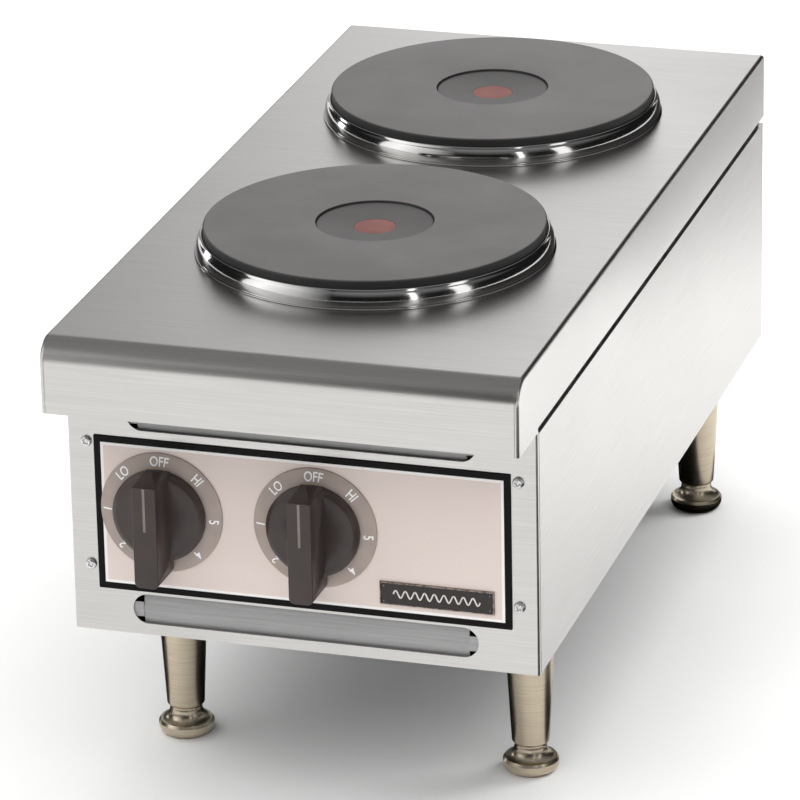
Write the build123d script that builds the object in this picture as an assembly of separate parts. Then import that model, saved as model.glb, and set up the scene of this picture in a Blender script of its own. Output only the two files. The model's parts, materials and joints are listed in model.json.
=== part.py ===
from build123d import *
import os

os.makedirs("parts", exist_ok=True)

# A two-plate electric hot plate that stands on a counter. All sizes are millimetres.
# +X is the operator's right, -Y the front and +Z up. The origin is the middle of the
# rectangle that the object covers on the counter, and the feet stand on z = 0.

# ---- Casing -------------------------------------------------------------------------
WIDTH = 305.0  # a 12 inch module
DEPTH = 649.0  # apron face to back of the deck
BODY_HEIGHT = 210.0  # underside of the casing to the deck
DECK_SHEET = 1.5
PANEL_SHEET = 1.2
SKIRT_DROP = 44.5  # the deck's turned-down edge, at the sides and back
APRON_DROP = 47.5  # the apron in front of the casing
BULLNOSE_RADIUS = 15.0
APRON_OVERHANG = 43.0  # the apron stands this far in front of the front panel
APRON_RETURN = 15.0  # lip turned back under the apron
SEAM = 5.2  # shadow gap below the skirt
LAP_GAP = 2.2  # from the skirt's inner face to the panels' laps
BEND = 1.6  # outer radius of the front panel's folds
CORNER_GAP = 1.0  # from the front panel's rim to the side panels
PANEL_INSET = 0.5  # side panels lie this far inside the skirt's outer face
BACK_INSET = 3.0  # the rear panel, so that its screw heads stay inside the skirt
FIT_GAP = 0.3  # clearance between sheets that lap
RIM_DEPTH = 3.2  # the front panel's folded rim
FLANGE = 14.0  # folded flanges that take the screws
CORNER_FLANGE = 20.4  # side panels' flanges behind the front and rear panels
LAP = 12.0  # how far the panels reach up behind the skirt
REAR_SLOT = (46.0, 5.0)  # upright vent slots in the rear panel
REAR_SLOT_PITCH = 22.0
REAR_SLOTS_EACH_SIDE = 4
REAR_SLOT_DROP = 45.0  # from the panel's top to the slots' middle
FLOOR_SLOT = (70.0, 6.0)  # intake slots in the floor
FLOOR_SLOT_PITCH = 16.0
FLOOR_SLOTS_EACH_WAY = 3
FLOOR_SLOTS_BACK = 163.0  # the middle slot, behind the front panel
CUT = 1.0  # a cutter runs this far past the faces that it cuts

# ---- Front panel ----------------------------------------------------------------------
OVERLAY_MARGIN = 17.5  # from the casing's sides to the overlay
OVERLAY_BOTTOM = 29.5  # above the underside of the casing
OVERLAY_HEIGHT = 104.0
OVERLAY_SHEET = 0.8
VENT_MARGIN = 39.5
VENT_HEIGHT = 20.0
VENT_LOW = 5.1  # lower edge of the lower slot, above the floor sheet
VENT_HIGH = 138.5  # lower edge of the upper slot
DEFLECTOR_SHORT = 6.5  # the bent strip stops this far inside the slot's ends
DEFLECTOR_DEPTH = 1.8
DEFLECTOR_SHEET = 1.0
DEFLECTOR_BELOW = 3.0
DEFLECTOR_TOP_GAP = 1.0
DEFLECTOR_EAR = (16.0, 10.0)  # flat ears at its ends, welded behind the panel
SCREW_RADIUS = 1.7
SCREW_HEAD_RADIUS = 3.75
SCREW_HEAD_HEIGHT = 2.4
SCREW_HEAD_ROUND = 1.7
SCREW_LENGTH = 9.0
SCREW_CLEARANCE = 0.2
FRONT_SCREW_INSET = 12.7
FRONT_SCREW_HEIGHTS = (45.3, 128.5)
FLOOR_SCREW_FRONT = 42.0  # from the side flange's front end to the first screw
FLOOR_SCREW_BACK = 28.0
BADGE_RIGHT = 28.5  # from the casing's right side
BADGE_WIDTH = 74.0
BADGE_HEIGHT = 15.6
BADGE_BOTTOM = 38.6
BADGE_SHEET = 1.5
BADGE_BEVEL = 0.75

# ---- Controls -------------------------------------------------------------------------
DIAL_LEFT = 61.3  # left dial's centre from the casing's left side
DIAL_SPACING = 100.5
DIAL_CENTRE_HEIGHT = 85.5  # above the underside of the casing
DIAL_RADIUS = 40.0
DIAL_BORE = 19.0
DIAL_FACE = 3.6
DIAL_EDGE = 1.4
KNOB_RADIUS = 30.2
KNOB_DISC = 5.5
KNOB_CHAMFER = 1.4
KNOB_GAP = 0.5  # between knob and dial
BAR_WIDTH = 16.6
BAR_REACH = 29.6  # disc's back to the bar's face
BAR_TOP = 30.0
BAR_TAIL = 38.6
BAR_CHAMFER = 0.5
TAIL_ROUND = 4.15
POINTER_WIDTH = 1.8
POINTER_DEPTH = 0.5
POINTER_END = 1.2  # it stops this far below the bar's upper end
SHAFT_RADIUS = 3.175
SHAFT_FIT = 0.05
SHAFT_IN_KNOB = 18.0
SHAFT_IN_SWITCH = 22.0
BUSHING_RADIUS = 4.75
BUSHING_LENGTH = 3.4  # in front of the overlay
HOLE_CLEARANCE = 0.4
NUT_FLATS = 14.0
NUT_HEIGHT = 2.3
SWITCH_SIZE = 44.0
SWITCH_DEPTH = 34.0
SWITCH_CHAMFER = 2.2
TAB_LENGTH = 8.0
TAB_WIDTH = 6.0
TAB_SHEET = 0.8
TAB_PLACES = ((-14.0, -12.0), (14.0, -12.0), (-14.0, 4.0), (14.0, 4.0), (0.0, 16.0))

# ---- Hot plates -----------------------------------------------------------------------
PLATE_RADIUS = 110.0
PLATE_RISE = 18.0  # plate face above the deck
SHOULDER = 1.6  # rounded edge of the plate
RIM_BOTTOM = 10.0  # underside of the plate's rim, above the deck
CORE_STEP = 6.0  # the casting below the rim is this much smaller
CORE_DEPTH = 4.0  # casting below the deck's face
COVER_STEP = 4.6  # the cover is this much smaller than the casting
RECESS_RADIUS = 38.0
RECESS_FLOOR = 37.2
RECESS_DEPTH = 1.6  # at the recess's edge
RECESS_DISH = 2.4  # its floor falls this much further to the flat in the middle
MARKER_RADIUS = 13.6
MARKER_SHEET = 0.4
TRIM_WIDTH = 5.5  # trim ring's foot outside the plate
TRIM_SHEET = 0.8
TRIM_HEIGHT = 12.6
TRIM_BULGE = (0.75, 0.62)  # where its curve is fullest, as shares of width and height
HOLE_MARGIN = 1.5  # deck hole beyond the plate
GROOVE_INNER = 45.0
GROOVE_MARGIN = 15.0  # from the element's groove to the plate's edge
GROOVE_DEPTH = 8.0
COVER_SHEET = 0.8
FRONT_PLATE = 166.0  # plate centre behind the front panel
REAR_PLATE = 164.0  # plate centre ahead of the deck's back
STUD_RADIUS = 4.0
STUD_CLEARANCE = 0.5
STUD_SPARE = 3.0  # thread below the nut
CLAMP_WIDTH = 25.0
CLAMP_SHEET = 3.0
CLAMP_PAD = 20.0
CLAMP_DROP = 22.5
CLAMP_LAND = 7.0  # from the deck hole's edge to the pad
CLAMP_NUT_FLATS = 13.0
CLAMP_NUT_HEIGHT = 6.5
TERMINAL_SIZE = (34.0, 20.0, 12.0)
TERMINAL_OFFSET = (-50.0, 45.0)
TERMINAL_CHAMFER = 1.5
TERMINAL_SCREW_RADIUS = 1.9
TERMINAL_SCREW_LENGTH = 6.5
TERMINAL_HEAD_RADIUS = 3.2
TERMINAL_HEAD_HEIGHT = 2.0
THREAD_GAP = 0.1  # between a screw and its hole's wall

# ---- Inside the casing ----------------------------------------------------------------
BAFFLE_SET_BACK = 50.0
SHIELD_DROP = 70.0
WIRE_RADIUS = 3.0
WIRE_HOLE = 6.0
GROMMET_LIP = 2.0
WIRE_ABOVE = 10.0  # the plates' wires leave the switches above the shafts
SUPPLY_BELOW = 12.0
SUPPLY_BESIDE = 13.0
PLATE_WIRE_LEAD = 90.0  # the last run before a plate's block
PLATE_WIRE_BENDS = (60.0, 24.0)
SUPPLY_LEADS = (110.0, 45.0)  # the supply's two turns, behind the baffle
SUPPLY_BENDS = (40.0, 24.0)
MAINS_BLOCK = (60.0, 26.0, 22.0)
MAINS_RIGHT = 60.0
MAINS_BACK = 120.0
MAINS_GROOVE = 2.0
MAINS_SCREW_RADIUS = 2.1
MAINS_SCREW_LENGTH = 9.0
MAINS_HEAD_RADIUS = 3.6
MAINS_HEAD_HEIGHT = 2.0
LUG_FOOT = (16.0, 20.0, 2.0)
LUG_POST = (12.0, 15.0, 12.0)
LUG_HOLE_RADIUS = 3.0
LUG_HOLE_HEIGHT = 6.5
KNOCKOUT_RADIUS = 11.1  # half-inch trade conduit
KNOCKOUT_RIGHT = 60.0
KNOCKOUT_HEIGHT = 38.0

# ---- Legs -----------------------------------------------------------------------------
LEG_LENGTH = 95.0  # underside of the casing to the tube's end
LEG_INSET = 35.5
FRONT_LEG = 103.0  # behind the front panel
REAR_LEG = 56.0  # ahead of the deck's back
LEG_TOP_RADIUS = 17.2
LEG_END_RADIUS = 12.3
LEG_WALL = 1.8
LEG_INSERT = 16.0
LEG_STUD_RADIUS = 5.0
LEG_STUD_LENGTH = 14.0
NUT_PLATE = 46.0
NUT_PLATE_THICK = 4.0
FOOT_HEIGHT = 20.0  # counter to the tube's end, foot screwed home
FOOT_RADIUS = 18.2
FOOT_REST = 9.1  # radius of the flat that rests on the counter
FOOT_UNDER = (16.0, 4.0)  # radius and height of a point on the pad's lower curve
FOOT_WAIST = 9.0  # height of the widest line
FOOT_OVER = (15.8, 14.8)  # a point on the flange's upper curve
FOOT_SHOULDER = 17.2
FOOT_NECK = 10.3
STEM_RADIUS = 6.0
STEM_LENGTH = 42.0
STEM_FIT = 0.06

# ---- Places worked out from the sizes above ---------------------------------------------
SIDE = WIDTH / 2
FRONT = -DEPTH / 2
BACK = DEPTH / 2
PANEL = FRONT + APRON_OVERHANG
BASE = LEG_LENGTH + FOOT_HEIGHT
DECK = BASE + BODY_HEIGHT
DECK_UNDER = DECK - DECK_SHEET
SKIRT_END = DECK - SKIRT_DROP
APRON_END = DECK - APRON_DROP
PANEL_SIDE = SIDE - PANEL_INSET
PANEL_BACK = BACK - BACK_INSET
LAP_SIDE = SIDE - DECK_SHEET - LAP_GAP
FLOOR_TOP = BASE + 2 * PANEL_SHEET
FLANGE_FRONT = PANEL + RIM_DEPTH + CORNER_GAP
FLANGE_BACK = PANEL_BACK - PANEL_SHEET - FIT_GAP
INNER_SIDE = PANEL_SIDE - PANEL_SHEET - FIT_GAP
BAFFLE = PANEL + BAFFLE_SET_BACK
SHIELD = DECK - SHIELD_DROP
DIAL_HEIGHT = BASE + DIAL_CENTRE_HEIGHT
DIAL_XS = {"left": -SIDE + DIAL_LEFT, "right": -SIDE + DIAL_LEFT + DIAL_SPACING}
PLATE_YS = {"front": PANEL + FRONT_PLATE, "rear": BACK - REAR_PLATE}
LEG_X = SIDE - LEG_INSET
LEG_PLACES = {
    "front_left": (-LEG_X, PANEL + FRONT_LEG),
    "front_right": (LEG_X, PANEL + FRONT_LEG),
    "rear_left": (-LEG_X, BACK - REAR_LEG),
    "rear_right": (LEG_X, BACK - REAR_LEG),
}
KNOB_BACK = OVERLAY_SHEET + DIAL_FACE + KNOB_GAP
CORE_RADIUS = PLATE_RADIUS - CORE_STEP
GROOVE_OUTER = PLATE_RADIUS - GROOVE_MARGIN
CORE_UNDER = DECK - CORE_DEPTH
COVER_UNDER = CORE_UNDER - FIT_GAP - COVER_SHEET
CLAMP_UNDER = DECK_UNDER - CLAMP_DROP - CLAMP_SHEET
BLOCK_UNDER = COVER_UNDER - FIT_GAP - TERMINAL_SIZE[2]
MAINS_Y = BACK - MAINS_BACK
UPPER_WIRE = DIAL_HEIGHT + WIRE_ABOVE
LOWER_WIRE = DIAL_HEIGHT - SUPPLY_BELOW
SUPPLY_X = DIAL_XS["right"] + SUPPLY_BESIDE
MAINS_X = SIDE - MAINS_RIGHT
WIRE_START = PANEL + PANEL_SHEET + FIT_GAP + SWITCH_DEPTH + TAB_LENGTH + FIT_GAP
WIRE_PORTS = (
    (DIAL_XS["left"], UPPER_WIRE),
    (DIAL_XS["right"], UPPER_WIRE),
    (SUPPLY_X, LOWER_WIRE),
)


def block(x, y, z):
    """A box given by its two limits along each axis."""
    middle = ((x[0] + x[1]) / 2, (y[0] + y[1]) / 2, (z[0] + z[1]) / 2)
    return Pos(*middle) * Box(x[1] - x[0], y[1] - y[0], z[1] - z[0])


def upright(radius, x, y, low, high):
    """A round bar along Z."""
    return Pos(x, y, (low + high) / 2) * Cylinder(radius, high - low)


def turned(*lines):
    """A solid turned about Z from an outline in the XZ plane."""
    return revolve(make_face(Wire(lines)), Axis.Z)


def front_frame(x, z):
    """A frame on the front panel's face: its own Z points out, its own Y points up."""
    return Plane(origin=(x, PANEL, z), x_dir=(1, 0, 0), z_dir=(0, -1, 0))


def hexagon(flats, height):
    """A hexagonal bar along Z, standing on its own origin."""
    return extrude(RegularPolygon(flats / 2, 6, major_radius=False), height)


def pan_screw():
    """A pan-head screw along -Z, with its head's underside at its own origin."""
    shank = upright(SCREW_RADIUS, 0, 0, -SCREW_LENGTH, 0)
    head = upright(SCREW_HEAD_RADIUS, 0, 0, 0, SCREW_HEAD_HEIGHT)
    return shank + fillet(head.edges().sort_by(Axis.Z)[-1], SCREW_HEAD_ROUND)


def screw_hole():
    """A cutter along Z for a panel screw, centred on its own origin."""
    return Cylinder(SCREW_RADIUS + SCREW_CLEARANCE, 2 * SCREW_LENGTH)


def row_of(count, pitch):
    """Places of a row that has the same count on each side of its middle."""
    return [pitch * step for step in range(-count, count + 1)]


def obround(length, height, depth):
    """A round-ended bar in the front frame, centred on it and running both ways."""
    return extrude(SlotOverall(length, height), depth, both=True)


# ---- Casing pieces ----------------------------------------------------------------------
def deck_top():
    """One folded sheet: flat deck, bullnosed apron, side and back skirts, two plate holes."""
    outer = block((-SIDE, SIDE), (FRONT, BACK), (APRON_END, DECK))
    inner = block(
        (-SIDE + DECK_SHEET, SIDE - DECK_SHEET),
        (FRONT + DECK_SHEET, BACK - DECK_SHEET),
        (APRON_END - DECK_SHEET, DECK_UNDER),
    )
    nose = outer.edges().filter_by(Axis.X).group_by(Axis.Y)[0].sort_by(Axis.Z)[-1]
    inside_nose = inner.edges().filter_by(Axis.X).group_by(Axis.Y)[0].sort_by(Axis.Z)[-1]
    sheet = fillet(nose, BULLNOSE_RADIUS) - fillet(inside_nose, BULLNOSE_RADIUS - DECK_SHEET)
    sheet -= block((-SIDE - CUT, SIDE + CUT), (PANEL, BACK + CUT), (APRON_END - CUT, SKIRT_END))
    sheet += block(
        (-SIDE + DECK_SHEET, SIDE - DECK_SHEET),
        (FRONT + DECK_SHEET, FRONT + APRON_RETURN),
        (APRON_END, APRON_END + DECK_SHEET),
    )
    for y in PLATE_YS.values():
        sheet -= upright(PLATE_RADIUS + HOLE_MARGIN, 0, y, DECK_UNDER - CUT, DECK + CUT)
    return sheet


def vent_heights():
    return (FLOOR_TOP + VENT_LOW + VENT_HEIGHT / 2, BASE + VENT_HIGH + VENT_HEIGHT / 2)


def front_screw_places():
    x = SIDE - FRONT_SCREW_INSET
    return [(side * x, BASE + height) for side in (-1, 1) for height in FRONT_SCREW_HEIGHTS]


def front_panel():
    """Shallow pan with two vent slots, shaft holes and screw holes."""
    upper = DECK_UNDER - FIT_GAP
    step = APRON_END - FIT_GAP
    back = PANEL + PANEL_SHEET
    inside = PANEL_SIDE - PANEL_SHEET
    pan = block((-PANEL_SIDE, PANEL_SIDE), (PANEL, PANEL + RIM_DEPTH), (BASE, step))
    hollow = block((-inside, inside), (back, PANEL + RIM_DEPTH + CUT), (BASE + PANEL_SHEET, step + CUT))
    panel = fillet(pan.edges().filter_by(Axis.Z).group_by(Axis.Y)[0], BEND)
    panel -= fillet(hollow.edges().filter_by(Axis.Z).group_by(Axis.Y)[0], BEND - PANEL_SHEET)
    panel += block((-LAP_SIDE, LAP_SIDE), (PANEL, back), (step, upper))
    panel += block((-LAP_SIDE, LAP_SIDE), (PANEL, PANEL + FLANGE), (upper - PANEL_SHEET, upper))
    for z in vent_heights():
        slot = obround(WIDTH - 2 * VENT_MARGIN, VENT_HEIGHT, 2 * PANEL_SHEET)
        panel -= front_frame(0, z) * slot
    for x in DIAL_XS.values():
        hole = Cylinder(BUSHING_RADIUS + HOLE_CLEARANCE, 4 * PANEL_SHEET)
        panel -= front_frame(x, DIAL_HEIGHT) * hole
    for x, z in front_screw_places():
        panel -= front_frame(x, z) * screw_hole()
    return panel


def side_panel(side):
    """Side sheet with a joggled top lap and folded flanges front, back and bottom."""
    top = SKIRT_END - SEAM
    outer = PANEL_SIDE
    inner = PANEL_SIDE - PANEL_SHEET
    lap_inner = LAP_SIDE - PANEL_SHEET
    length = (FLANGE_FRONT, FLANGE_BACK)
    panel = block((inner, outer), length, (BASE, top))
    panel += block((lap_inner, outer), length, (top - PANEL_SHEET, top))
    panel += block((lap_inner, LAP_SIDE), length, (top - PANEL_SHEET, SKIRT_END + LAP))
    fold = (PANEL_SIDE - CORNER_FLANGE, outer)
    heights = (FLOOR_TOP + FIT_GAP, top)
    panel += block(fold, (FLANGE_FRONT, FLANGE_FRONT + PANEL_SHEET), heights)
    panel += block(fold, (FLANGE_BACK - PANEL_SHEET, FLANGE_BACK), heights)
    panel += block((PANEL_SIDE - FLANGE, outer), length, (BASE, BASE + PANEL_SHEET))
    for x, z in front_screw_places():
        panel -= front_frame(abs(x), z) * screw_hole()
    for x, z in back_screw_places():
        panel -= Pos(abs(x), FLANGE_BACK, z) * Rot(90, 0, 0) * screw_hole()
    for x, y in floor_screw_places():
        panel -= Pos(abs(x), y, BASE) * screw_hole()
    return panel if side > 0 else mirror(panel, Plane.YZ)


def back_screw_places():
    x = PANEL_SIDE - FLANGE / 2 - PANEL_SHEET
    low = BASE + FLANGE
    high = SKIRT_END - FLANGE
    return [(side * x, z) for side in (-1, 1) for z in (low, (low + high) / 2, high)]


def floor_screw_places():
    x = PANEL_SIDE - FLANGE / 2
    front = FLANGE_FRONT + FLOOR_SCREW_FRONT
    back = FLANGE_BACK - FLOOR_SCREW_BACK
    return [(side * x, y) for side in (-1, 1) for y in (front, (front + back) / 2, back)]


def rear_panel():
    """Flat back sheet with a conduit knock-out and a row of upright vent slots."""
    top = SKIRT_END - SEAM
    sheet = (PANEL_BACK - PANEL_SHEET, PANEL_BACK)
    panel = block((-PANEL_SIDE, PANEL_SIDE), sheet, (BASE, top))
    panel += block((-LAP_SIDE, LAP_SIDE), sheet, (top, SKIRT_END + LAP))
    wall = Rot(90, 0, 0)
    knockout = Cylinder(KNOCKOUT_RADIUS, 4 * PANEL_SHEET)
    panel -= Pos(SIDE - KNOCKOUT_RIGHT, PANEL_BACK, BASE + KNOCKOUT_HEIGHT) * wall * knockout
    slot = wall * Rot(0, 0, 90) * extrude(SlotOverall(*REAR_SLOT), 2 * PANEL_SHEET, both=True)
    for x in row_of(REAR_SLOTS_EACH_SIDE, REAR_SLOT_PITCH):
        panel -= Pos(x, PANEL_BACK, top - REAR_SLOT_DROP) * slot
    for x, z in back_screw_places():
        panel -= Pos(x, PANEL_BACK, z) * wall * screw_hole()
    return panel


def bottom_panel():
    """Floor sheet, on the side panels' flanges, with leg holes and intake slots."""
    low = BASE + PANEL_SHEET
    floor = block((-INNER_SIDE, INNER_SIDE), (FLANGE_FRONT, FLANGE_BACK), (low, FLOOR_TOP))
    for x, y in LEG_PLACES.values():
        floor -= upright(LEG_STUD_RADIUS + STUD_CLEARANCE, x, y, BASE, FLOOR_TOP + CUT)
    slot = extrude(SlotOverall(*FLOOR_SLOT), 2 * PANEL_SHEET, both=True)
    for y in row_of(FLOOR_SLOTS_EACH_WAY, FLOOR_SLOT_PITCH):
        floor -= Pos(0, PANEL + FLOOR_SLOTS_BACK + y, low) * slot
    for x, y in floor_screw_places():
        floor -= Pos(x, y, BASE) * screw_hole()
    return floor


def heat_baffle():
    """Upright sheet that keeps the plates' heat off the switches."""
    inside = LAP_SIDE - PANEL_SHEET - FIT_GAP
    wall = (BAFFLE, BAFFLE + PANEL_SHEET)
    baffle = block((-inside, inside), wall, (FLOOR_TOP, DECK_UNDER - FIT_GAP))
    baffle += block((-inside, inside), (BAFFLE, BAFFLE + FLANGE), (FLOOR_TOP, FLOOR_TOP + PANEL_SHEET))
    for x, z in WIRE_PORTS:
        baffle -= Pos(x, BAFFLE, z) * Rot(90, 0, 0) * Cylinder(WIRE_HOLE, 4 * PANEL_SHEET)
    notch = block(
        (inside - FLANGE, inside),
        (BAFFLE + PANEL_SHEET, BAFFLE + FLANGE),
        (FLOOR_TOP - CUT, FLOOR_TOP + FLANGE),
    )
    return baffle - notch - mirror(notch, Plane.YZ)


def heat_shield():
    """Level reflector sheet under the plates, with folded sides and wire holes."""
    inside = LAP_SIDE - PANEL_SHEET - FIT_GAP
    length = (BAFFLE + PANEL_SHEET + FIT_GAP, FLANGE_BACK - PANEL_SHEET - FIT_GAP)
    shield = block((-inside, inside), length, (SHIELD, SHIELD + PANEL_SHEET))
    fold = block((inside - PANEL_SHEET, inside), length, (SHIELD, SHIELD + LAP))
    shield += fold + mirror(fold, Plane.YZ)
    for y in PLATE_YS.values():
        x, offset = TERMINAL_OFFSET
        shield -= upright(WIRE_HOLE, x, y + offset, SHIELD - CUT, SHIELD + PANEL_SHEET + CUT)
    return shield


def vent_deflector(z):
    """Bent strip behind a vent slot: its ridge faces out, and air passes above and below it.
    Flat ears at its ends are welded to the back of the panel."""
    half = WIDTH / 2 - VENT_MARGIN - DEFLECTOR_SHORT
    ridge = PANEL + PANEL_SHEET + FIT_GAP
    edge = ridge + DEFLECTOR_DEPTH
    low = z - VENT_HEIGHT / 2 - DEFLECTOR_BELOW
    high = z + VENT_HEIGHT / 2 - DEFLECTOR_TOP_GAP
    middle = z - DEFLECTOR_TOP_GAP
    outline = Polyline(
        (edge, low),
        (ridge, middle),
        (edge, high),
        (edge + DEFLECTOR_SHEET, high),
        (ridge + DEFLECTOR_SHEET, middle),
        (edge + DEFLECTOR_SHEET, low),
        close=True,
    )
    strip = extrude(Plane.YZ * make_face(outline), half, both=True)
    length, height = DEFLECTOR_EAR
    thick = (PANEL + PANEL_SHEET, PANEL + PANEL_SHEET + DEFLECTOR_SHEET)
    ear = block((half, half + length), thick, (middle - height / 2, middle + height / 2))
    return strip + ear + mirror(ear, Plane.YZ)


def control_overlay():
    """Printed plate behind the knobs."""
    half = SIDE - OVERLAY_MARGIN
    low = BASE + OVERLAY_BOTTOM
    overlay = block((-half, half), (PANEL - OVERLAY_SHEET, PANEL), (low, low + OVERLAY_HEIGHT))
    for x in DIAL_XS.values():
        hole = Cylinder(BUSHING_RADIUS + HOLE_CLEARANCE, 4 * PANEL_SHEET)
        overlay -= front_frame(x, DIAL_HEIGHT) * hole
    return overlay


def nameplate():
    """Plain raised plate with a bevelled edge, stuck on the overlay."""
    right = SIDE - BADGE_RIGHT
    low = BASE + BADGE_BOTTOM
    face = PANEL - OVERLAY_SHEET
    plate = block(
        (right - BADGE_WIDTH, right), (face - BADGE_SHEET, face), (low, low + BADGE_HEIGHT)
    )
    return chamfer(plate.faces().sort_by(Axis.Y)[0].edges(), BADGE_BEVEL)


def dial_plate(x):
    """Fixed conical ring with the heat settings, round the switch's nut."""
    low = OVERLAY_SHEET
    flat = KNOB_RADIUS + KNOB_GAP
    outline = Polyline(
        (DIAL_BORE, low),
        (DIAL_RADIUS, low),
        (DIAL_RADIUS, low + DIAL_EDGE),
        (flat, low + DIAL_FACE),
        (DIAL_BORE, low + DIAL_FACE),
        close=True,
    )
    ring = revolve(Plane.XZ * make_face(outline), Axis.Z)
    return front_frame(x, DIAL_HEIGHT) * ring


# ---- Controls -----------------------------------------------------------------------------
def knob_pointer(x):
    """White inlay along the upper half of the bar's face."""
    face = KNOB_BACK + BAR_REACH
    half = POINTER_WIDTH / 2
    line = block((-half, half), (0, BAR_TOP - POINTER_END), (face - POINTER_DEPTH, face))
    return front_frame(x, DIAL_HEIGHT) * line


def knob(x):
    """Chamfered disc with a tall bar grip, whose tail stands past the disc."""
    face = KNOB_BACK + BAR_REACH
    disc = Pos(0, 0, KNOB_BACK + KNOB_DISC / 2) * Cylinder(KNOB_RADIUS, KNOB_DISC)
    disc = chamfer(disc.edges().sort_by(Axis.Z)[-1], KNOB_CHAMFER)
    half = BAR_WIDTH / 2
    bar = block((-half, half), (-BAR_TAIL, BAR_TOP), (KNOB_BACK + KNOB_GAP, face))
    tail_corners = bar.edges().filter_by(Axis.Z).group_by(Axis.Y)[0]
    bar = fillet(tail_corners, TAIL_ROUND)
    bar = chamfer(bar.faces().sort_by(Axis.Z)[-1].edges(), BAR_CHAMFER)
    bore = Pos(0, 0, KNOB_BACK + SHAFT_IN_KNOB / 2) * Cylinder(SHAFT_RADIUS, SHAFT_IN_KNOB)
    grip = front_frame(x, DIAL_HEIGHT) * (disc + bar - bore)
    return grip - knob_pointer(x)


def switch_shaft(x):
    """Shaft that the knob turns, from the switch into the knob."""
    inner = -PANEL_SHEET - FIT_GAP - SHAFT_IN_SWITCH
    outer = KNOB_BACK + SHAFT_IN_KNOB
    shaft = Pos(0, 0, (inner + outer) / 2) * Cylinder(SHAFT_RADIUS, outer - inner)
    return front_frame(x, DIAL_HEIGHT) * shaft


def switch_body(x):
    """Infinite-heat switch: square moulded case with a threaded bushing through the panel."""
    front = -PANEL_SHEET - FIT_GAP
    case = Pos(0, 0, front - SWITCH_DEPTH / 2) * Box(SWITCH_SIZE, SWITCH_SIZE, SWITCH_DEPTH)
    case = chamfer(case.edges().filter_by(Axis.Z), SWITCH_CHAMFER)
    top = OVERLAY_SHEET + BUSHING_LENGTH
    case += Pos(0, 0, (front + top) / 2) * Cylinder(BUSHING_RADIUS, top - front)
    depth = SHAFT_IN_SWITCH + CUT
    bore = Pos(0, 0, (front - depth + top) / 2) * Cylinder(SHAFT_RADIUS + SHAFT_FIT, depth + top - front)
    return front_frame(x, DIAL_HEIGHT) * (case - bore)


def switch_nut(x):
    nut = hexagon(NUT_FLATS, NUT_HEIGHT) - Cylinder(BUSHING_RADIUS, 4 * NUT_HEIGHT)
    return front_frame(x, DIAL_HEIGHT) * Pos(0, 0, OVERLAY_SHEET) * nut


def switch_tabs(x):
    """Five blade terminals on the back of a switch."""
    case_back = PANEL + PANEL_SHEET + FIT_GAP + SWITCH_DEPTH
    tabs = []
    for across, up in TAB_PLACES:
        left = x + across - TAB_WIDTH / 2
        z = DIAL_HEIGHT + up
        width = (left, left + TAB_WIDTH)
        tabs.append(block(width, (case_back, case_back + TAB_LENGTH), (z, z + TAB_SHEET)))
    return tabs


# ---- Hot plates ---------------------------------------------------------------------------
def plate_disc(y):
    """Cast-iron plate: dished centre recess, rounded edge, element groove and stud boss."""
    face = DECK + PLATE_RISE
    floor = face - RECESS_DEPTH - RECESS_DISH
    edge = PLATE_RADIUS - SHOULDER
    bend = SHOULDER / 2**0.5
    rim = DECK + RIM_BOTTOM
    disc = turned(
        Line((0, 0, CORE_UNDER), (CORE_RADIUS, 0, CORE_UNDER)),
        Line((CORE_RADIUS, 0, CORE_UNDER), (CORE_RADIUS, 0, rim)),
        Line((CORE_RADIUS, 0, rim), (PLATE_RADIUS, 0, rim)),
        Line((PLATE_RADIUS, 0, rim), (PLATE_RADIUS, 0, face - SHOULDER)),
        ThreePointArc(
            (PLATE_RADIUS, 0, face - SHOULDER),
            (edge + bend, 0, face - SHOULDER + bend),
            (edge, 0, face),
        ),
        Line((edge, 0, face), (RECESS_RADIUS, 0, face)),
        Line((RECESS_RADIUS, 0, face), (RECESS_FLOOR, 0, face - RECESS_DEPTH)),
        Line((RECESS_FLOOR, 0, face - RECESS_DEPTH), (MARKER_RADIUS, 0, floor)),
        Line((MARKER_RADIUS, 0, floor), (0, 0, floor)),
        Line((0, 0, floor), (0, 0, CORE_UNDER)),
    )
    low = CORE_UNDER - CUT
    groove_top = CORE_UNDER + GROOVE_DEPTH
    groove = upright(GROOVE_OUTER, 0, 0, low, groove_top)
    disc -= groove - upright(GROOVE_INNER, 0, 0, low, groove_top)
    disc -= upright(STUD_RADIUS, 0, 0, low, groove_top)
    disc -= upright(MARKER_RADIUS, 0, 0, floor - MARKER_SHEET, face)
    return Pos(0, y, 0) * disc


def heat_marker(y):
    """Red temperature-safe spot let into the recess."""
    floor = DECK + PLATE_RISE - RECESS_DEPTH - RECESS_DISH
    return upright(MARKER_RADIUS, 0, y, floor - MARKER_SHEET, floor)


def trim_ring(y):
    """Bright spun ring from the plate's rim down to the deck."""
    foot = PLATE_RADIUS + TRIM_WIDTH
    top = DECK + TRIM_HEIGHT
    lip = PLATE_RADIUS + FIT_GAP
    out, up = TRIM_BULGE
    bulge = (PLATE_RADIUS + out * TRIM_WIDTH, 0, DECK + up * TRIM_HEIGHT)
    inner_bulge = (bulge[0] - TRIM_SHEET, 0, bulge[2] - TRIM_SHEET / 2)
    ring = turned(
        Line((foot - TRIM_SHEET, 0, DECK), (foot, 0, DECK)),
        ThreePointArc((foot, 0, DECK), bulge, (lip, 0, top)),
        Line((lip, 0, top), (lip, 0, top - TRIM_SHEET)),
        ThreePointArc((lip, 0, top - TRIM_SHEET), inner_bulge, (foot - TRIM_SHEET, 0, DECK)),
    )
    return Pos(0, y, 0) * ring


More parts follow.
